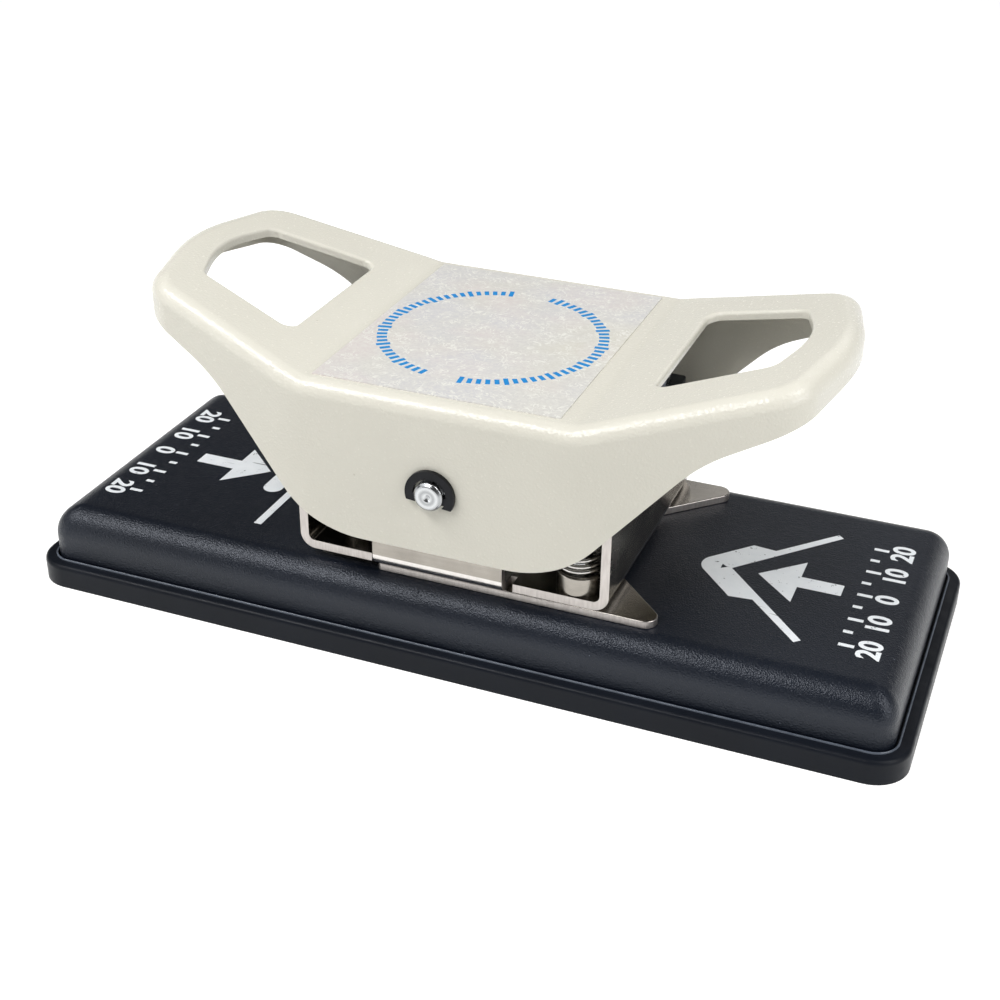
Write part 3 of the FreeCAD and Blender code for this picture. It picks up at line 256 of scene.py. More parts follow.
# Moulded ABS, black: a satin skin off a polished tool, with a faint flow pattern and small
# scuffs that catch the light.
moulded_abs, tree, shader, place = surface("moulded_black_abs", 0.36, specular=0.14)
flow = add(tree, "ShaderNodeTexNoise", {"Vector": place, "Scale": per(14), "Detail": 3.0})
tone = add(tree, "ShaderNodeMixRGB", {"Fac": flow.outputs["Fac"], "Color1": linear("#0f1218"),
                                      "Color2": linear("#181c24")})
tree.links.new(tone.outputs[0], shader.inputs["Base Color"])
scuffs = add(tree, "ShaderNodeTexNoise", {"Vector": place, "Scale": per(2.2), "Detail": 6.0})
gloss = add(tree, "ShaderNodeMapRange", {"Value": scuffs.outputs["Fac"], "From Min": 0.3,
                                         "From Max": 0.7, "To Min": 0.30, "To Max": 0.46})
tree.links.new(gloss.outputs[0], shader.inputs["Roughness"])
skin = add(tree, "ShaderNodeTexNoise", {"Vector": place, "Scale": per(0.5), "Detail": 2.0})
skin_bump = add(tree, "ShaderNodeBump", {"Height": skin.outputs["Fac"], "Strength": 0.25,
                                         "Distance": 0.00003})
tree.links.new(skin_bump.outputs[0], shader.inputs["Normal"])

chip_tray = dressed("chip_tray", moulded_abs)


TUBE_SHARP_ANGLE = math.radians(50)


def swept(name, rings, closed=False):
    """A tube through the sections in rings, an array (sections, points round, 3). A closed tube
    joins its last section to its first, and an open one ends in two flat caps."""
    index = np.arange(rings.shape[0] * rings.shape[1]).reshape(rings.shape[:2])
    here = index if closed else index[:-1]
    ahead = np.roll(index, -1, axis=0) if closed else index[1:]
    quads = np.stack([here, np.roll(here, -1, 1), np.roll(ahead, -1, 1), ahead], axis=-1)
    caps = [] if closed else [index[0][::-1].tolist(), index[-1].tolist()]
    mesh = bpy.data.meshes.new(name)
    mesh.from_pydata(rings.reshape(-1, 3), [], quads.reshape(-1, 4).tolist() + caps)
    mesh.shade_smooth()
    mesh.set_sharp_from_angle(angle=TUBE_SHARP_ANGLE)
    piece = bpy.data.objects.new(name, mesh)
    bpy.context.collection.objects.link(piece)
    return piece


LIP_HALF_LENGTH, LIP_HALF_WIDTH, LIP_CORNER = 0.09725, 0.03775, 0.00525
LIP_HALF_THICK, LIP_HEIGHT, LIP_FOOT = 0.00025, 0.00035, 0.0055
CORNER_STEPS, SECTION_POINTS = 12, 9
# The lip's line: four quarter circles, each about its own corner's centre.
turns = np.linspace(0, 2 * math.pi, 4 * CORNER_STEPS + 1)[:-1].reshape(4, CORNER_STEPS)
turns = np.concatenate([turns, turns[:, :1] + math.pi / 2], axis=1)
outward = np.stack([np.cos(turns), np.sin(turns)], axis=-1)
centre_signs = np.array([(1, 1), (-1, 1), (-1, -1), (1, -1)])
centres = centre_signs * (LIP_HALF_LENGTH - LIP_CORNER, LIP_HALF_WIDTH - LIP_CORNER)
line = (centres[:, None] + LIP_CORNER * outward).reshape(-1, 2)
outward = outward.reshape(-1, 2)
# The lip's section: half an ellipse standing on the ledge, run round with its foot closed.
around = np.linspace(0, math.pi, SECTION_POINTS)
across, rise = LIP_HALF_THICK * np.cos(around), LIP_HEIGHT * np.sin(around)
lip_rings = np.empty((len(line), len(around), 3))
lip_rings[..., :2] = line[:, None] + outward[:, None] * across[::-1][:, None]
lip_rings[..., 2] = LIP_FOOT + rise[::-1]

# The same plastic on the lip: glossier where rubbed, and painted greyer as a highlight line.
rubbed_highlit_abs, tree, shader, place = surface("rubbed_black_abs_painted_highlight", 0.26, specular=0.5)
lip_highlight_cloud = add(tree, "ShaderNodeTexNoise", {"Vector": place, "Scale": per(3), "Detail": 4.0})
lip_highlight_tone = add(tree, "ShaderNodeMixRGB", {"Fac": lip_highlight_cloud.outputs["Fac"],
                                             "Color1": linear("#333a45"),
                                             "Color2": linear("#646b77")})
tree.links.new(lip_highlight_tone.outputs[0], shader.inputs["Base Color"])
tray_lip = swept("tray_lip", lip_rings, closed=True)
tray_lip.data.materials.append(rubbed_highlit_abs)
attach(tray_lip, "tray")

# Base housing
# A deep-drawn steel cover with a wide rounded shoulder. It is powder coated, and the fine sandy
# texture of the coat sparkles where the shoulder turns to the light.

# Powder coat, black: baked resin grains leave a low sandy relief, near matt on the flats,
# with a few grains of dust on it. The grain is drawn at 0.34 mm, coarser than the real 0.1 mm.
powder_coat, tree, shader, place = surface("black_powder_coat", 0.36, specular=0.5)
shader.inputs["Specular Tint"].default_value = linear("#dfe4ee")
drift = add(tree, "ShaderNodeTexNoise", {"Vector": place, "Scale": per(25), "Detail": 3.0})
coat_tone = add(tree, "ShaderNodeMixRGB", {"Fac": drift.outputs["Fac"], "Color1": linear("#0c1018"),
                                           "Color2": linear("#141a25")})
dust = add(tree, "ShaderNodeTexVoronoi", {"Vector": place, "Scale": per(5.5)})
speck = add(tree, "ShaderNodeMapRange", {"Value": dust.outputs["Distance"], "From Min": 0.022,
                                         "From Max": 0.034, "To Min": 1.0, "To Max": 0.0})
dusted = add(tree, "ShaderNodeMixRGB", {"Fac": speck.outputs[0], "Color1": coat_tone.outputs[0],
                                        "Color2": linear("#5d6470")})
tree.links.new(dusted.outputs[0], shader.inputs["Base Color"])
sand = add(tree, "ShaderNodeTexNoise", {"Vector": place, "Scale": per(0.9), "Detail": 3.0,
                                        "Roughness": 0.7})
grains = add(tree, "ShaderNodeTexVoronoi", {"Vector": place, "Scale": per(0.34)})
heap = add(tree, "ShaderNodeMath", {0: grains.outputs["Distance"], 1: sand.outputs["Fac"]},
           operation="MULTIPLY")
sand_bump = add(tree, "ShaderNodeBump", {"Height": heap.outputs[0], "Strength": 1.0,
                                         "Distance": 0.00012})
tree.links.new(sand_bump.outputs[0], shader.inputs["Normal"])
sand_gloss = add(tree, "ShaderNodeMapRange", {"Value": sand.outputs["Fac"], "From Min": 0.3,
                                              "From Max": 0.7, "To Min": 0.40, "To Max": 0.29})
tree.links.new(sand_gloss.outputs[0], shader.inputs["Roughness"])

base_housing = dressed("base_housing", powder_coat)

# Printed marks
# Screen printed in white ink on the housing: an arrow, a slot and a card edge for the slot side,
# and an arrow and a card corner for the rounding side. The ink is a little worn.

# Screen ink, white: a dense matt film, thin enough to let a few grains of the coat show, nicked
# and scratched where cards slide over it.
white_ink, tree, shader, place = surface("white_screen_ink", 0.5, specular=0.35)
nicks = add(tree, "ShaderNodeTexNoise", {"Vector": place, "Scale": per(1.6), "Detail": 5.0,
                                         "Roughness": 0.7})
nicked = add(tree, "ShaderNodeMapRange", {"Value": nicks.outputs["Fac"], "From Min": 0.63,
                                          "From Max": 0.67})
stretch = add(tree, "ShaderNodeMapping", {"Vector": place, "Rotation": (0, 0, math.radians(24)),
                                          "Scale": (0.08, 1.0, 1.0)})
strokes = add(tree, "ShaderNodeTexNoise", {"Vector": stretch.outputs[0], "Scale": per(0.9),
                                           "Detail": 2.0})
scratched = add(tree, "ShaderNodeMapRange", {"Value": strokes.outputs["Fac"], "From Min": 0.72,
                                             "From Max": 0.76, "To Max": 0.7})
bared = add(tree, "ShaderNodeMath", {0: nicked.outputs[0], 1: scratched.outputs[0]},
            operation="MAXIMUM")
film_tone = add(tree, "ShaderNodeTexNoise", {"Vector": place, "Scale": per(3), "Detail": 3.0})
film_colour = add(tree, "ShaderNodeMixRGB", {"Fac": film_tone.outputs["Fac"],
                                             "Color1": linear("#e2e7eb"),
                                             "Color2": linear("#f2f5f7")})
worn_colour = add(tree, "ShaderNodeMixRGB", {"Fac": bared.outputs[0],
                                             "Color1": film_colour.outputs[0],
                                             "Color2": linear("#3a3d43")})
tree.links.new(worn_colour.outputs[0], shader.inputs["Base Color"])
grain = add(tree, "ShaderNodeTexNoise", {"Vector": place, "Scale": per(0.45), "Detail": 2.5})
grain_bump = add(tree, "ShaderNodeBump", {"Height": grain.outputs["Fac"], "Strength": 0.25,
                                          "Distance": 0.00005})
tree.links.new(grain_bump.outputs[0], shader.inputs["Normal"])

INK_THICKNESS, INK_SEAM = 0.00003, 0.000002
HOUSING_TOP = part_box("base_housing")[1].z


def printed(name, body, level, shapes, ink):
    """A film of ink: flat shapes at one level, each an array of corner points in order, given
    thickness upwards. A shape whose signed area is negative is turned round to face up."""
    areas = [np.sum(x * np.roll(y, -1) - y * np.roll(x, -1)) for x, y in (s.T for s in shapes)]
    shapes = [s if area > 0 else s[::-1] for s, area in zip(shapes, areas)]
    ends = np.cumsum([len(s) for s in shapes])
    corners = np.concatenate(shapes)
    corners = np.column_stack([corners, np.full(len(corners), level)])
    mesh = bpy.data.meshes.new(name)
    loops = np.split(np.arange(ends[-1]), ends[:-1])
    mesh.from_pydata(corners, [], [loop.tolist() for loop in loops])
    merged = bmesh.new()
    merged.from_mesh(mesh)
    bmesh.ops.remove_doubles(merged, verts=merged.verts, dist=INK_SEAM)
    merged.to_mesh(mesh)
    merged.free()
    mesh.materials.append(ink)
    piece = bpy.data.objects.new(name, mesh)
    bpy.context.collection.objects.link(piece)
    thick = piece.modifiers.new("ink_thickness", "SOLIDIFY")
    thick.thickness, thick.offset = INK_THICKNESS, 1.0
    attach(piece, body)
    return piece


PRINT_AXIS = -0.0008


def mirrored(half):
    """A shape drawn on one side of the print's own axis, and its mirror image on the other side."""
    half = np.array(half) / 1000
    return [half + (0, PRINT_AXIS), half * (1, -1) + (0, PRINT_AXIS)]


def arrow(tip, shoulder, tail, head_half=8.5, shaft_half=2.15):
    """Half of an arrow along X: a triangle from its tip to its shoulder, then a straight shaft."""
    return [(tip, 0), (shoulder, head_half), (shoulder, shaft_half), (tail, shaft_half), (tail, 0)]


def arc(centre, radius, start, end, count=13):
    """Points on a circle, from one angle to the other, in degrees."""
    angles = np.radians(np.linspace(start, end, count))
    points = centre + radius * np.column_stack([np.cos(angles), np.sin(angles)])
    return [tuple(point) for point in points]


# All places on the print are in millimetres from the base's middle.
slot_arrow = arrow(tip=-58.6, shoulder=-67.7, tail=-77.6)
corner_arrow = arrow(tip=60.2, shoulder=69.1, tail=78.4)
printed("slot_arrow_print", "base", HOUSING_TOP, mirrored(slot_arrow), white_ink)
printed("corner_arrow_print", "base", HOUSING_TOP, mirrored(corner_arrow), white_ink)
PILL_MIDDLE, PILL_HALF, PILL_REACH = -54.3, 2.35, 8.8
pill_end = arc((PILL_MIDDLE, PILL_REACH - PILL_HALF), PILL_HALF, 0, 180)
pill = [*pill_end, (PILL_MIDDLE - PILL_HALF, 0), (PILL_MIDDLE + PILL_HALF, 0)]
printed("slot_pill_print", "base", HOUSING_TOP, mirrored(pill), white_ink)
EDGE_OUTER, EDGE_INNER, EDGE_REACH = -50.25, -48.4, 22.9
card_edge = [(EDGE_OUTER, 0), (EDGE_OUTER, EDGE_REACH), (EDGE_INNER, EDGE_REACH), (EDGE_INNER, 0)]
printed("card_edge_print", "base", HOUSING_TOP, mirrored(card_edge), white_ink)
# The card corner: a thin right-angled line, and outside it the thick band that is cut round.
CORNER_SLOPE, BAND_HEART, BAND_RADIUS = 47.7, 51.82, 4.1
band_apex = arc((BAND_HEART, 0), BAND_RADIUS, 180, 90 + CORNER_SLOPE)
band_end = [(56.5, 11.2), (61.6, 10.7)]
line_end = [(73.05, 22.95), (74.3, 21.8)]
inner_corner = [(54.4, 0), (53.4, 0), (52.1, 0.95), (52.1, 0)]
corner_half = [*band_apex, *band_end, *line_end, *inner_corner]
printed("card_corner_print", "base", HOUSING_TOP, mirrored(corner_half), white_ink)

# Tick scales
# At each end of the base a printed scale with plain numbers shows how far a card lies from the
# middle, in millimetres. It is the same white ink.
SCALE_STEP, SCALE_REACH, NUMBERED_EVERY = 0.005, 4, 2
TICK_START, TICK_SHORT, TICK_LONG, TICK_HALF = 0.0815, 0.0020, 0.0032, 0.0005
NUMERAL_BASE, NUMERAL_HEIGHT, NUMERAL_BOLD = 0.0854, 0.0046, 0.0002
# A numeral stands this share of its type's size high.
NUMERAL_SHARE = 0.7


def numeral(text):
    """The triangles of a printed number, centred across its width, on its own base line."""
    curve = bpy.data.curves.new("numeral", "FONT")
    curve.body, curve.align_x, curve.offset = text, "CENTER", NUMERAL_BOLD
    curve.size = NUMERAL_HEIGHT / NUMERAL_SHARE
    holder = bpy.data.objects.new("numeral", curve)
    bpy.context.collection.objects.link(holder)
    drawn = holder.evaluated_get(bpy.context.evaluated_depsgraph_get())
    flat = bpy.data.meshes.new_from_object(drawn)
    bpy.data.objects.remove(holder)
    flat.calc_loop_triangles()
    places = np.empty(len(flat.vertices) * 3)
    flat.vertices.foreach_get("co", places)
    index = np.empty(len(flat.loop_triangles) * 3, np.int32)
    flat.loop_triangles.foreach_get("vertices", index)
    return places.reshape(-1, 3)[index.reshape(-1, 3), :2]


for end, name in ((-1, "slot_scale_print"), (1, "corner_scale_print")):
    steps = np.arange(-SCALE_REACH, SCALE_REACH + 1)
    middles = PRINT_AXIS + steps * SCALE_STEP
    reach = TICK_START + np.where(steps % NUMBERED_EVERY == 0, TICK_LONG, TICK_SHORT)
    # Each tick is a rectangle from the scale's line outwards.
    foot = np.full(len(steps), TICK_START)
    along = np.stack([foot, reach, reach, foot], axis=1)
    across_tick = middles[:, None] + TICK_HALF * np.array((-1, -1, 1, 1))
    ticks = np.stack([along, across_tick], axis=-1)
    shapes = list(ticks * (end, 1))
    for step, middle in zip(steps[::NUMBERED_EVERY], middles[::NUMBERED_EVERY]):
        millimetres = round(abs(step) * SCALE_STEP * 1000)
        turned = numeral(str(millimetres))[..., ::-1] * (-end, end)
        shapes += list(turned + (end * (NUMERAL_BASE + NUMERAL_HEIGHT), middle))
    printed(name, "base", HOUSING_TOP, shapes, white_ink)

# Die plate
# A hardened steel plate let into the housing, ground flat, with the slot and corner openings that
# the blades enter.

# Tool steel, ground and hardened: fine straight grinding lines along X, a grey that is darker
# than plating.
ground_steel, tree, shader, place = surface("ground_tool_steel", 0.32, metallic=1.0)
lay = add(tree, "ShaderNodeMapping", {"Vector": place, "Scale": (0.04, 1.0, 1.0)})
lines = add(tree, "ShaderNodeTexNoise", {"Vector": lay.outputs[0], "Scale": per(0.4),
                                         "Detail": 3.0})
steel_tone = add(tree, "ShaderNodeMixRGB", {"Fac": lines.outputs["Fac"],
                                            "Color1": linear("#7d7c7a"),
                                            "Color2": linear("#a6a5a2")})
tree.links.new(steel_tone.outputs[0], shader.inputs["Base Color"])
line_bump = add(tree, "ShaderNodeBump", {"Height": lines.outputs["Fac"], "Strength": 0.3,
                                         "Distance": 0.00002})
tree.links.new(line_bump.outputs[0], shader.inputs["Normal"])
MACHINED_EDGE = 0.0001
dressed("die_plate", ground_steel, MACHINED_EDGE)

# Card guide and punch frame
# Both are blanked and bent from steel sheet and nickel plated. The frame is a floor with two
# walls and the two ears that carry the pivot; the guide lies under it and notches the card.

# Bright nickel on rolled steel: warm grey with soft cloudy stains and the long faint lines of the
# rolling, which break up what it mirrors.
nickel, tree, shader, place = surface("nickel_plated_steel", 0.22, metallic=1.0)
clouds = add(tree, "ShaderNodeTexNoise", {"Vector": place, "Scale": per(11), "Detail": 4.0})
stain = add(tree, "ShaderNodeMapRange", {"Value": clouds.outputs["Fac"], "From Min": 0.3,
                                         "From Max": 0.7})
nickel_tone = add(tree, "ShaderNodeMixRGB", {"Fac": stain.outputs[0], "Color1": linear("#8e8982"),
                                             "Color2": linear("#aca79f")})
rolling = add(tree, "ShaderNodeMapping", {"Vector": place, "Scale": (0.04, 1.0, 1.0)})
rolled = add(tree, "ShaderNodeTexNoise", {"Vector": rolling.outputs[0], "Scale": per(0.7),
                                          "Detail": 4.0})
rolled_tone = add(tree, "ShaderNodeMixRGB", {"Fac": 0.12, "Color1": nickel_tone.outputs[0],
                                             "Color2": rolled.outputs["Fac"]}, blend_type="OVERLAY")
tree.links.new(rolled_tone.outputs[0], shader.inputs["Base Color"])
smear = add(tree, "ShaderNodeMapRange", {"Value": clouds.outputs["Fac"], "From Min": 0.3,
                                         "From Max": 0.7, "To Min": 0.18, "To Max": 0.28})
tree.links.new(smear.outputs[0], shader.inputs["Roughness"])
roll_bump = add(tree, "ShaderNodeBump", {"Height": rolled.outputs["Fac"], "Strength": 0.12,
                                         "Distance": 0.00003})
tree.links.new(roll_bump.outputs[0], shader.inputs["Normal"])

# Sheared sheet edge, plated over: rough vertical tear lines that scatter light, paler and
# slightly pink beside the rolled faces.
sheared_nickel, tree, shader, place = surface("nickel_plated_sheared_edge", 0.4, metallic=1.0)
tearing = add(tree, "ShaderNodeMapping", {"Vector": place, "Scale": (1.0, 1.0, 0.15)})
torn = add(tree, "ShaderNodeTexNoise", {"Vector": tearing.outputs[0], "Scale": per(0.5),
                                        "Detail": 3.0})
torn_tone = add(tree, "ShaderNodeMixRGB", {"Fac": torn.outputs["Fac"], "Color1": linear("#aca5a1"),
                                           "Color2": linear("#d8d3cf")})
tree.links.new(torn_tone.outputs[0], shader.inputs["Base Color"])
torn_bump = add(tree, "ShaderNodeBump", {"Height": torn.outputs["Fac"], "Strength": 0.5,
                                         "Distance": 0.00006})
tree.links.new(torn_bump.outputs[0], shader.inputs["Normal"])

# The same plating on the outside of the bends, painted paler and smooth: a painted highlight
# that stands for the bright band that the bends mirror.
bend_highlight_nickel, tree, shader, place = surface("nickel_plated_bend_painted_highlight", 0.2, metallic=1.0)
bend_highlight_cloud = add(tree, "ShaderNodeTexNoise", {"Vector": place, "Scale": per(1.5), "Detail": 3.0})
bend_highlight_tone = add(tree, "ShaderNodeMixRGB", {"Fac": bend_highlight_cloud.outputs["Fac"],
                                              "Color1": linear("#c9c5c1"),
                                              "Color2": linear("#e8e4e1")})
tree.links.new(bend_highlight_tone.outputs[0], shader.inputs["Base Color"])

# FRAME_END is how far the frame's floor reaches to the front and rear. The other values are
# limits on a face's normal: 1 is square to an axis and 0 is along it.
FRAME_END = 0.0312
GUIDE_UPRIGHT, EAR_SIDE, EAR_LEVEL, WALL_END = 0.3, 0.05, 0.98, 0.95
BEND_STEEPEST, BEND_FLATTEST = 0.04, 0.97


def guide_rim(middles, normals):
    """The guide's cut edges: faces that stand upright."""
    return np.abs(normals[:, 2]) < GUIDE_UPRIGHT


def frame_rim(middles, normals):
    """The frame's cut edges: the ends of its floor and walls, and the sides of its ears."""
    along, up = np.abs(normals[:, 1:]).T
    ears = np.abs(middles[:, 1]) > FRAME_END
    return np.where(ears, (along < EAR_SIDE) & (up < EAR_LEVEL), along > WALL_END)


def frame_bends(middles, normals):
    """The outside of the frame's bends: faces turned partly down, near its floor. They get the
    painted bend highlight.
    """
    down = -normals[:, 2]
    return (down > BEND_STEEPEST) & (down < BEND_FLATTEST) & ~frame_rim(middles, normals)


SHEET_EDGE = 0.00018
# The frame's cut edges take the sheared finish, and its bends the painted highlight.
frame_finishes = [(frame_rim, sheared_nickel), (frame_bends, bend_highlight_nickel)]
dressed("guide_plate", nickel, SHEET_EDGE, [(guide_rim, sheared_nickel)])
dressed("punch_frame", nickel, SHEET_EDGE, frame_finishes)

# Frame screws and nuts
# Four pan-head screws and their nuts clamp the frame, guide and die plate to the housing.

# Zinc plating, clear passivated: a bluish silver, slightly dull, blotchy from the bath.
zinc, tree, shader, place = surface("zinc_plated_steel", 0.34, metallic=1.0)
bath = add(tree, "ShaderNodeTexNoise", {"Vector": place, "Scale": per(1.5), "Detail": 4.0})
zinc_tone = add(tree, "ShaderNodeMixRGB", {"Fac": bath.outputs["Fac"], "Color1": linear("#a3a9ae"),
                                           "Color2": linear("#ccd0d2")})
tree.links.new(zinc_tone.outputs[0], shader.inputs["Base Color"])
zinc_gloss = add(tree, "ShaderNodeMapRange", {"Value": bath.outputs["Fac"], "From Min": 0.3,
                                              "From Max": 0.7, "To Min": 0.25, "To Max": 0.45})
tree.links.new(zinc_gloss.outputs[0], shader.inputs["Roughness"])
for node in ("frame_screws", "frame_nuts"):
    dressed(node, zinc, MACHINED_EDGE)

# Guide posts and collars
# Each punch holder runs on two posts of bright drawn bar, riveted into the frame's floor through
# plated collars that seat the springs.

# Bright drawn steel: clean silver, with fine rings left by the turning tool on its ends.
bright_bar, tree, shader, place = surface("bright_turned_steel", 0.2, metallic=1.0)
bar_cloud = add(tree, "ShaderNodeTexNoise", {"Vector": place, "Scale": per(2), "Detail": 4.0})
bar_tone = add(tree, "ShaderNodeMixRGB", {"Fac": bar_cloud.outputs["Fac"],
                                          "Color1": linear("#bfc1c3"), "Color2": linear("#e2e3e4")})
tree.links.new(bar_tone.outputs[0], shader.inputs["Base Color"])
bar_gloss = add(tree, "ShaderNodeMapRange", {"Value": bar_cloud.outputs["Fac"], "From Min": 0.3,
                                             "From Max": 0.7, "To Min": 0.16, "To Max": 0.3})
tree.links.new(bar_gloss.outputs[0], shader.inputs["Roughness"])
for punch in ("slot", "corner"):
    for end in ("front", "rear"):
        dressed(f"{punch}_post_{end}", bright_bar, MACHINED_EDGE)
        dressed(f"{punch}_collar_{end}", nickel, MACHINED_EDGE)

# Return springs
# One compression spring round each post, wound from bright spring wire, its end turns closed and
# ground flat.
SPRING_TURNS, CLOSED_TURNS, OPENING_TURNS, CLOSED_PITCH = 8.5, 2.2, 0.8, 0.00118
# The end turns' hearts lie this share of the wire's radius from the plane they are ground to.
SPRING_RADIUS, WIRE_RADIUS, GROUND_SHARE = 0.0045, 0.0005, 0.7
SPRING_FOOT, SPRING_TOP = 0.0258, 0.041
STEPS_PER_TURN, WIRE_SIDES = 40, 14
SPRING_PLACES = {"slot": (-0.0246, 0.0190), "corner": (0.0283, 0.0256)}


def spring_sections(x, y):
    """A helix of constant radius about the post. Every turn rises by the closed pitch, and the
    turns between the closed ends share the rest of the height. The wire is a circle carried along
    it, and whatever of it passes the end planes is ground away."""
    turn = np.linspace(0, SPRING_TURNS, int(SPRING_TURNS * STEPS_PER_TURN) + 1)
    angle = 2 * math.pi * turn
    low, high = SPRING_FOOT + WIRE_RADIUS * GROUND_SHARE, SPRING_TOP - WIRE_RADIUS * GROUND_SHARE
    from_end = np.minimum(turn, SPRING_TURNS - turn)
    opened = np.cumsum(np.clip(from_end - CLOSED_TURNS, 0, OPENING_TURNS))
    spare = high - low - CLOSED_PITCH * SPRING_TURNS
    heart = np.column_stack([x + SPRING_RADIUS * np.cos(angle), y + SPRING_RADIUS * np.sin(angle),
                             low + CLOSED_PITCH * turn + spare * opened / opened[-1]])
    along_wire = np.gradient(heart, axis=0)
    along_wire /= np.linalg.norm(along_wire, axis=1, keepdims=True)
    out = np.column_stack([np.cos(angle), np.sin(angle), np.zeros(len(angle))])
    side = np.cross(along_wire, out)
    round_wire = np.linspace(0, 2 * math.pi, WIRE_SIDES, endpoint=False)
    cosine, sine = np.cos(round_wire)[None, :, None], np.sin(round_wire)[None, :, None]
    sections = heart[:, None] + WIRE_RADIUS * (cosine * out[:, None] + sine * side[:, None])
    sections[..., 2] = np.clip(sections[..., 2], SPRING_FOOT, SPRING_TOP)
    return sections


# Spring wire, drawn and bright: cool silver, darker in faint lengthwise draw marks.
spring_wire, tree, shader, place = surface("bright_spring_wire", 0.2, metallic=1.0)
draw_marks = add(tree, "ShaderNodeTexNoise", {"Vector": place, "Scale": per(0.7), "Detail": 3.0})
wire_tone = add(tree, "ShaderNodeMixRGB", {"Fac": draw_marks.outputs["Fac"],
                                           "Color1": linear("#a9a7a3"),
                                           "Color2": linear("#dad8d4")})
tree.links.new(wire_tone.outputs[0], shader.inputs["Base Color"])
for punch, (x, reach) in SPRING_PLACES.items():
    for end, side in (("front", -1), ("rear", 1)):
        spring = swept(f"{punch}_spring_{end}_wound", spring_sections(x, side * reach))
        spring.data.materials.append(spring_wire)
        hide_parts(f"{punch}_spring_{end}")
        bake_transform(spring)

# Punch holders and blades
# Each holder is a blued bar that slides on two posts and carries a hardened blade: one punches
# the slot, the other cuts the card's corner round.

# Blued steel: a thin oxide from the hot salts, blue-black, satin, a little rubbed.
blued, tree, shader, place = surface("blued_steel", 0.36, metallic=1.0)
salts = add(tree, "ShaderNodeTexNoise", {"Vector": place, "Scale": per(6), "Detail": 4.0})
blued_tone = add(tree, "ShaderNodeMixRGB", {"Fac": salts.outputs["Fac"],
                                            "Color1": linear("#2a2f3b"),
                                            "Color2": linear("#474b54")})
tree.links.new(blued_tone.outputs[0], shader.inputs["Base Color"])
blued_gloss = add(tree, "ShaderNodeMapRange", {"Value": salts.outputs["Fac"], "From Min": 0.3,
                                               "From Max": 0.7, "To Min": 0.28, "To Max": 0.45})
tree.links.new(blued_gloss.outputs[0], shader.inputs["Roughness"])
HOLDER_EDGE = 0.00015
for punch in ("slot", "corner"):
    dressed(f"{punch}_punch_holder", blued, HOLDER_EDGE)
    dressed(f"{punch}_punch_blade", ground_steel)
    dressed(f"{punch}_cross_pin", bright_bar, MACHINED_EDGE)

# Pivot pin, spacers and clips
# The rocker turns on one bright steel pin. Plated washers space it from the ears, and a spring
# clip in a groove at each end holds it.

# Turned steel: the pin's face shows the rings of the facing cut about its centre.
turned_pin, tree, shader, place = surface("faced_steel_pin", 0.24, metallic=1.0)
PIN_HEIGHT, PIN_EDGE = 0.0429, 0.00012
pin_centre = add(tree, "ShaderNodeMapping", {"Vector": place, "Location": (0, 0, -PIN_HEIGHT)})
rings = add(tree, "ShaderNodeTexWave", {"Vector": pin_centre.outputs[0], "Scale": per(4.4),
                                        "Distortion": 0.6, "Detail": 2.0}, wave_type="RINGS",
            rings_direction="Y")
ring_tone = add(tree, "ShaderNodeMixRGB", {"Fac": rings.outputs["Fac"], "Color1": linear("#a2a4a6"),
                                           "Color2": linear("#c8cacc")})
tree.links.new(ring_tone.outputs[0], shader.inputs["Base Color"])
ring_bump = add(tree, "ShaderNodeBump", {"Height": rings.outputs["Fac"], "Strength": 0.35,
                                         "Distance": 0.00003})
tree.links.new(ring_bump.outputs[0], shader.inputs["Normal"])
dressed("pivot_pin", turned_pin, PIN_EDGE)
for end in ("front", "rear"):
    dressed(f"pivot_spacer_{end}", zinc, MACHINED_EDGE)

# Black oxide on spring steel: dark, oily, semi-gloss.
oxide, tree, shader, place = surface("black_oxide_steel", 0.38, metallic=0.6)
oily = add(tree, "ShaderNodeTexNoise", {"Vector": place, "Scale": per(1.2), "Detail": 3.0})
oxide_tone = add(tree, "ShaderNodeMixRGB", {"Fac": oily.outputs["Fac"], "Color1": linear("#08090c"),
                                            "Color2": linear("#17181d")})
tree.links.new(oxide_tone.outputs[0], shader.inputs["Base Color"])
for end in ("front", "rear"):
    dressed(f"e_clip_{end}", oxide, PIN_EDGE)

# Saddle
# A plated steel channel welded under the rocker's top. A cross pin at each end of it lifts and
# pushes a punch.
SADDLE_EDGE = 0.00015
dressed("lever_saddle", nickel, SADDLE_EDGE)

# Rocker
# The hand lever: drawn from sheet with a deep skirt, two raised wings with finger openings, and
# every edge rounded. It is painted cream.

# Stoved enamel paint, cream: semi-gloss with a fine orange peel that breaks up the highlights,
# a slightly uneven tone, and a few pits and grains of grit.
enamel, tree, shader, place = surface("cream_stoved_enamel", 0.3, specular=0.5)
cast = add(tree, "ShaderNodeTexNoise", {"Vector": place, "Scale": per(38), "Detail": 3.0})
cream = add(tree, "ShaderNodeMixRGB", {"Fac": cast.outputs["Fac"], "Color1": linear("#d6d3c7"),
                                       "Color2": linear("#e0ddd1")})
grit = add(tree, "ShaderNodeTexVoronoi", {"Vector": place, "Scale": per(11)})
pit = add(tree, "ShaderNodeMapRange", {"Value": grit.outputs["Distance"], "From Min": 0.012,
                                       "From Max": 0.028, "To Min": 0.45, "To Max": 0.0})
pitted = add(tree, "ShaderNodeMixRGB", {"Fac": pit.outputs[0], "Color1": cream.outputs[0],
                                        "Color2": linear("#b3ad9b")})
tree.links.new(pitted.outputs[0], shader.inputs["Base Color"])
peel = add(tree, "ShaderNodeTexNoise", {"Vector": place, "Scale": per(0.55), "Detail": 2.0,
                                        "Roughness": 0.55})
peel_bump = add(tree, "ShaderNodeBump", {"Height": peel.outputs["Fac"], "Strength": 0.8,
                                         "Distance": 0.00012})
tree.links.new(peel_bump.outputs[0], shader.inputs["Normal"])
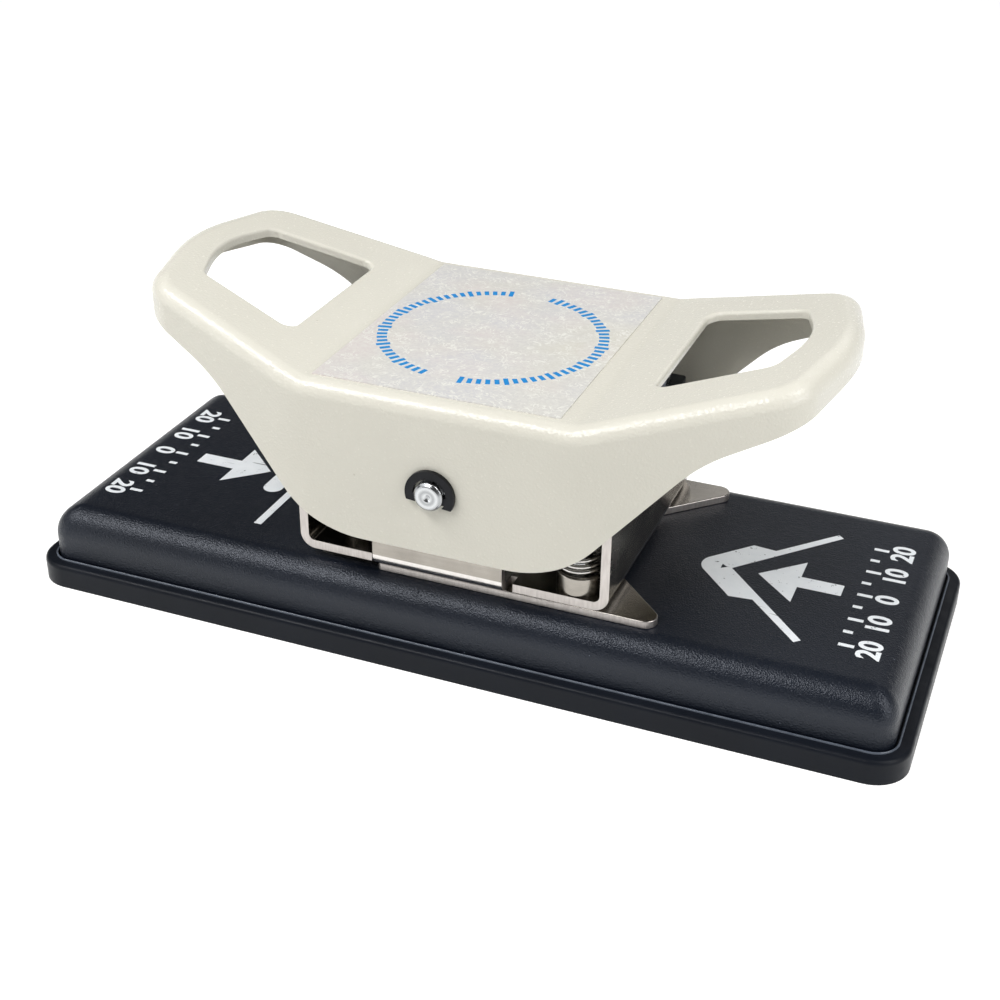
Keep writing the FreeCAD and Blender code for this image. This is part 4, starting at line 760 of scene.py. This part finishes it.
enamel_gloss = add(tree, "ShaderNodeMapRange", {"Value": peel.outputs["Fac"], "From Min": 0.3,
                                                "From Max": 0.7, "To Min": 0.18, "To Max": 0.28})
tree.links.new(enamel_gloss.outputs[0], shader.inputs["Roughness"])
dressed("lever_shell", enamel)

# Label
# A thin silver film stuck on the flat between the wings. It is crossed by pale crackle flecks and
# carries a ring of blue ticks.

# Silvered polyester film: satin grey that drifts from bluish to yellowish, with raised pale
# flecks a third of a millimetre wide.
label_film, tree, shader, place = surface("silvered_label_film", 0.36, metallic=0.08)
wash = add(tree, "ShaderNodeTexNoise", {"Vector": place, "Scale": per(24), "Detail": 2.0})
wash_step = add(tree, "ShaderNodeMapRange", {"Value": wash.outputs["Fac"], "From Min": 0.35,
                                             "From Max": 0.65})
film_grey = add(tree, "ShaderNodeMixRGB", {"Fac": wash_step.outputs[0], "Color1": linear("#d3d2d3"),
                                           "Color2": linear("#d9d6cb")})
blush = add(tree, "ShaderNodeTexNoise", {"Vector": place, "Scale": per(17), "Detail": 2.0})
blush_step = add(tree, "ShaderNodeMapRange", {"Value": blush.outputs["Fac"], "From Min": 0.48,
                                              "From Max": 0.68, "To Max": 0.8})
film_tint = add(tree, "ShaderNodeMixRGB", {"Fac": blush_step.outputs[0],
                                           "Color1": film_grey.outputs[0],
                                           "Color2": linear("#dcd3d0")})
sand_grey = add(tree, "ShaderNodeTexNoise", {"Vector": place, "Scale": per(0.9), "Detail": 3.0,
                                             "Distortion": 0.8})
mottle = add(tree, "ShaderNodeMapRange", {"Value": sand_grey.outputs["Fac"], "From Min": 0.40,
                                          "From Max": 0.66, "To Max": 0.6})
mottled = add(tree, "ShaderNodeMixRGB", {"Fac": mottle.outputs[0], "Color1": film_tint.outputs[0],
                                         "Color2": linear("#e4e2db")})
worms = add(tree, "ShaderNodeTexNoise", {"Vector": place, "Scale": per(2.0), "Detail": 1.5,
                                         "Distortion": 1.4})
centred = add(tree, "ShaderNodeMath", {0: worms.outputs["Fac"], 1: 0.5}, operation="SUBTRACT")
crest = add(tree, "ShaderNodeMath", {0: centred.outputs[0]}, operation="ABSOLUTE")
fleck = add(tree, "ShaderNodeMapRange", {"Value": crest.outputs[0], "From Min": 0.014,
                                         "From Max": 0.044, "To Min": 1.0, "To Max": 0.0})
patches = add(tree, "ShaderNodeTexNoise", {"Vector": place, "Scale": per(2.8), "Detail": 3.0})
patch = add(tree, "ShaderNodeMapRange", {"Value": patches.outputs["Fac"], "From Min": 0.42,
                                         "From Max": 0.56})
flecked = add(tree, "ShaderNodeMath", {0: fleck.outputs[0], 1: patch.outputs[0]},
              operation="MULTIPLY")
film_paint = add(tree, "ShaderNodeMixRGB", {"Fac": flecked.outputs[0], "Color1": mottled.outputs[0],
                                            "Color2": linear("#eeede6")})
tree.links.new(film_paint.outputs[0], shader.inputs["Base Color"])
fleck_bump = add(tree, "ShaderNodeBump", {"Height": flecked.outputs[0], "Strength": 0.4,
                                          "Distance": 0.00004})
tree.links.new(fleck_bump.outputs[0], shader.inputs["Normal"])
dressed("lever_label", label_film)

# Screen ink, blue: a flat even film with soft edges and slightly paler spots.
blue_ink, tree, shader, place = surface("blue_screen_ink", 0.55, specular=0.2)
thin_ink = add(tree, "ShaderNodeTexNoise", {"Vector": place, "Scale": per(0.8), "Detail": 3.0})
blue_tone = add(tree, "ShaderNodeMixRGB", {"Fac": thin_ink.outputs["Fac"],
                                           "Color1": linear("#0f7bc2"),
                                           "Color2": linear("#2b90d0")})
tree.links.new(blue_tone.outputs[0], shader.inputs["Base Color"])
RING_CENTRE, RING_RADIUS = np.array((-0.0015, -0.0012)), 0.0237
RING_TICK_HALF, RING_SHORT, RING_LONG = 0.00050, 0.0011, 0.0015
RING_PITCH, RING_LONG_EVERY = 4.5, 5
LABEL_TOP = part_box("lever_label")[1].z
for name, start, count in (("label_ring_left", 102.0, 35), ("label_ring_right", -84.0, 37)):
    bearings = np.radians(start + RING_PITCH * np.arange(count))
    half = np.where(np.arange(count) % RING_LONG_EVERY == 0, RING_LONG, RING_SHORT)[:, None]
    ray = np.column_stack([np.cos(bearings), np.sin(bearings)])
    turn = np.column_stack([-np.sin(bearings), np.cos(bearings)]) * RING_TICK_HALF
    # Each tick is a rectangle on a ray of the ring, longer at every fifth.
    near, far = RING_CENTRE + (RING_RADIUS - half) * ray, RING_CENTRE + (RING_RADIUS + half) * ray
    ticks = np.stack([near - turn, far - turn, far + turn, near + turn], axis=1)
    printed(name, "lever", LABEL_TOP, list(ticks), blue_ink)
